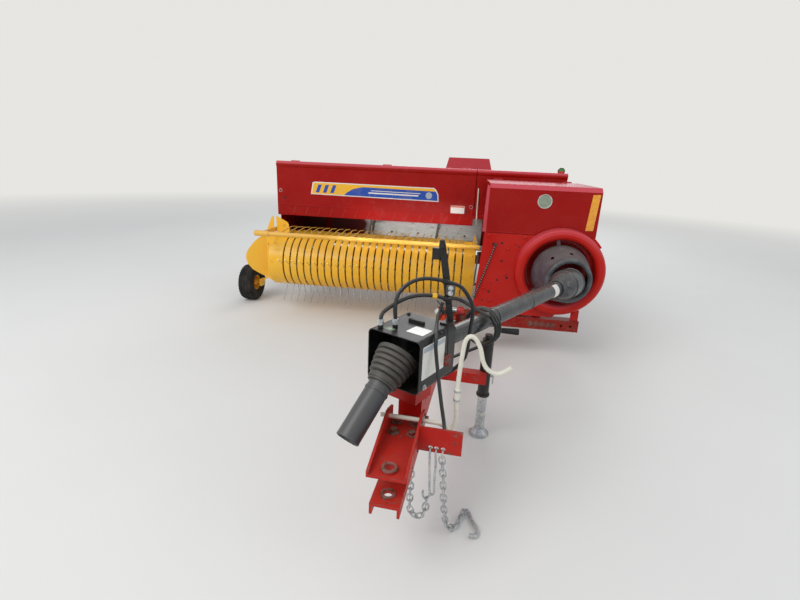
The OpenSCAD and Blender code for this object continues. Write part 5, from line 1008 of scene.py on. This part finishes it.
repeated("rubberLatches", latchShape, [facing((0.845, y, 1.392), backward, upward) for y in (1.20, 1.62)],
         "blackRubber", "main")
bolts("knotterGuardBolts", 0.012, [((x, y, z), out) for x, out in ((0.856, rightward), (1.3035, leftward))
      for y, z in ((0.92, 1.18), (1.02, 1.25), (1.22, 1.08))], "shadeDarkenedShieldEnamel", "knotter_cover")
print("case and covers dressed")


# Studio: pale floor that turns into the backdrop some metres away, soft lamps
studio = {
    "floor": "#e4e3df", "floorBlotch": "#d4d2cd", "back": "#ecebe7", "sky": "#e9eef4",
    "floorSize": 120, "fadeFrom": 7.0, "fadeTo": 15.0,  # metres from the part
    "skyStrength": 0.70, "backStrength": 0.95,
}
lamps = {  # soft squares of light, in metres and watts
    "keyLamp": {"place": (-3.5, -6.0, 6.5), "aim": (0.3, -0.5, 0.5), "size": 5.0, "power": 330},
    "feederLamp": {"place": (0.10, -1.2, 1.05), "aim": (0.10, 0.6, 0.74), "size": 1.1, "power": 1.1,
                   "height": 0.08, "spread": 30},  # a strip of light into the feeder's mouth, spread in degrees
    "fillLamp": {"place": (6.5, -3.5, 4.0), "aim": (0.6, 0.0, 0.6), "size": 4.0, "power": 60},
    "rearLamp": {"place": (1.0, 7.5, 5.5), "aim": (0.2, 0.5, 0.8), "size": 5.0, "power": 200},
}


def addFloor():
    deselectAll()
    bpy.ops.mesh.primitive_plane_add(size=studio["floorSize"], location=(0, 0, 0))
    floor = bpy.context.object
    floor.name = "studioFloor"
    tree, place = newMaterial("paintedStudioFloor")
    tone = addNode(tree, "TexNoise", blotches(place, 0.4, 3))
    tone = addNode(tree, "Math", {0: tone, 1: 0.25}, operation="MULTIPLY")
    colour = addNode(tree, "Mix", {0: tone, 6: hexColour(studio["floor"]), 7: hexColour(studio["floorBlotch"])},
                     2, data_type="RGBA")
    paint = addNode(tree, "BsdfPrincipled", {"Base Color": colour, "Roughness": 0.9, "Specular IOR Level": 0.1})
    away = addNode(tree, "VectorMath", {0: place}, "Value", operation="LENGTH")
    far = addNode(tree, "MapRange", {"Value": away, "From Min": studio["fadeFrom"], "From Max": studio["fadeTo"]})
    haze = addNode(tree, "Emission", {"Color": hexColour(studio["back"]), "Strength": studio["backStrength"]})
    addNode(tree, "OutputMaterial", {"Surface": addNode(tree, "MixShader", {0: far, 1: paint, 2: haze})})
    floor.data.materials.append(finishes["paintedStudioFloor"])


def addSky():
    world = bpy.context.scene.world = bpy.data.worlds.new("studioSky")
    world.use_nodes = True
    tree = world.node_tree
    tree.nodes.clear()
    seen = addNode(tree, "LightPath", out="Is Camera Ray")
    glow = addNode(tree, "Background", {"Color": hexColour(studio["sky"]), "Strength": studio["skyStrength"]})
    back = addNode(tree, "Background", {"Color": hexColour(studio["back"]), "Strength": studio["backStrength"]})
    addNode(tree, "OutputWorld", {"Surface": addNode(tree, "MixShader", {0: seen, 1: glow, 2: back})})


def addLamp(name, look):
    deselectAll()
    bpy.ops.object.light_add(type="AREA", location=look["place"])
    lamp = bpy.context.object
    lamp.name = name
    lamp.rotation_euler = (Vector(look["aim"]) - Vector(look["place"])).to_track_quat("-Z", "Y").to_euler()
    lamp.data.size, lamp.data.energy = look["size"], look["power"]
    if "spread" in look:
        lamp.data.shape, lamp.data.size_y = "RECTANGLE", look["height"]
        lamp.data.spread = math.radians(look["spread"])
        lamp.visible_glossy = lamp.visible_camera = False


addFloor()
addSky()
for name, look in lamps.items():
    addLamp(name, look)
bpy.context.scene.view_settings.view_transform = "Standard"
print("studio set")
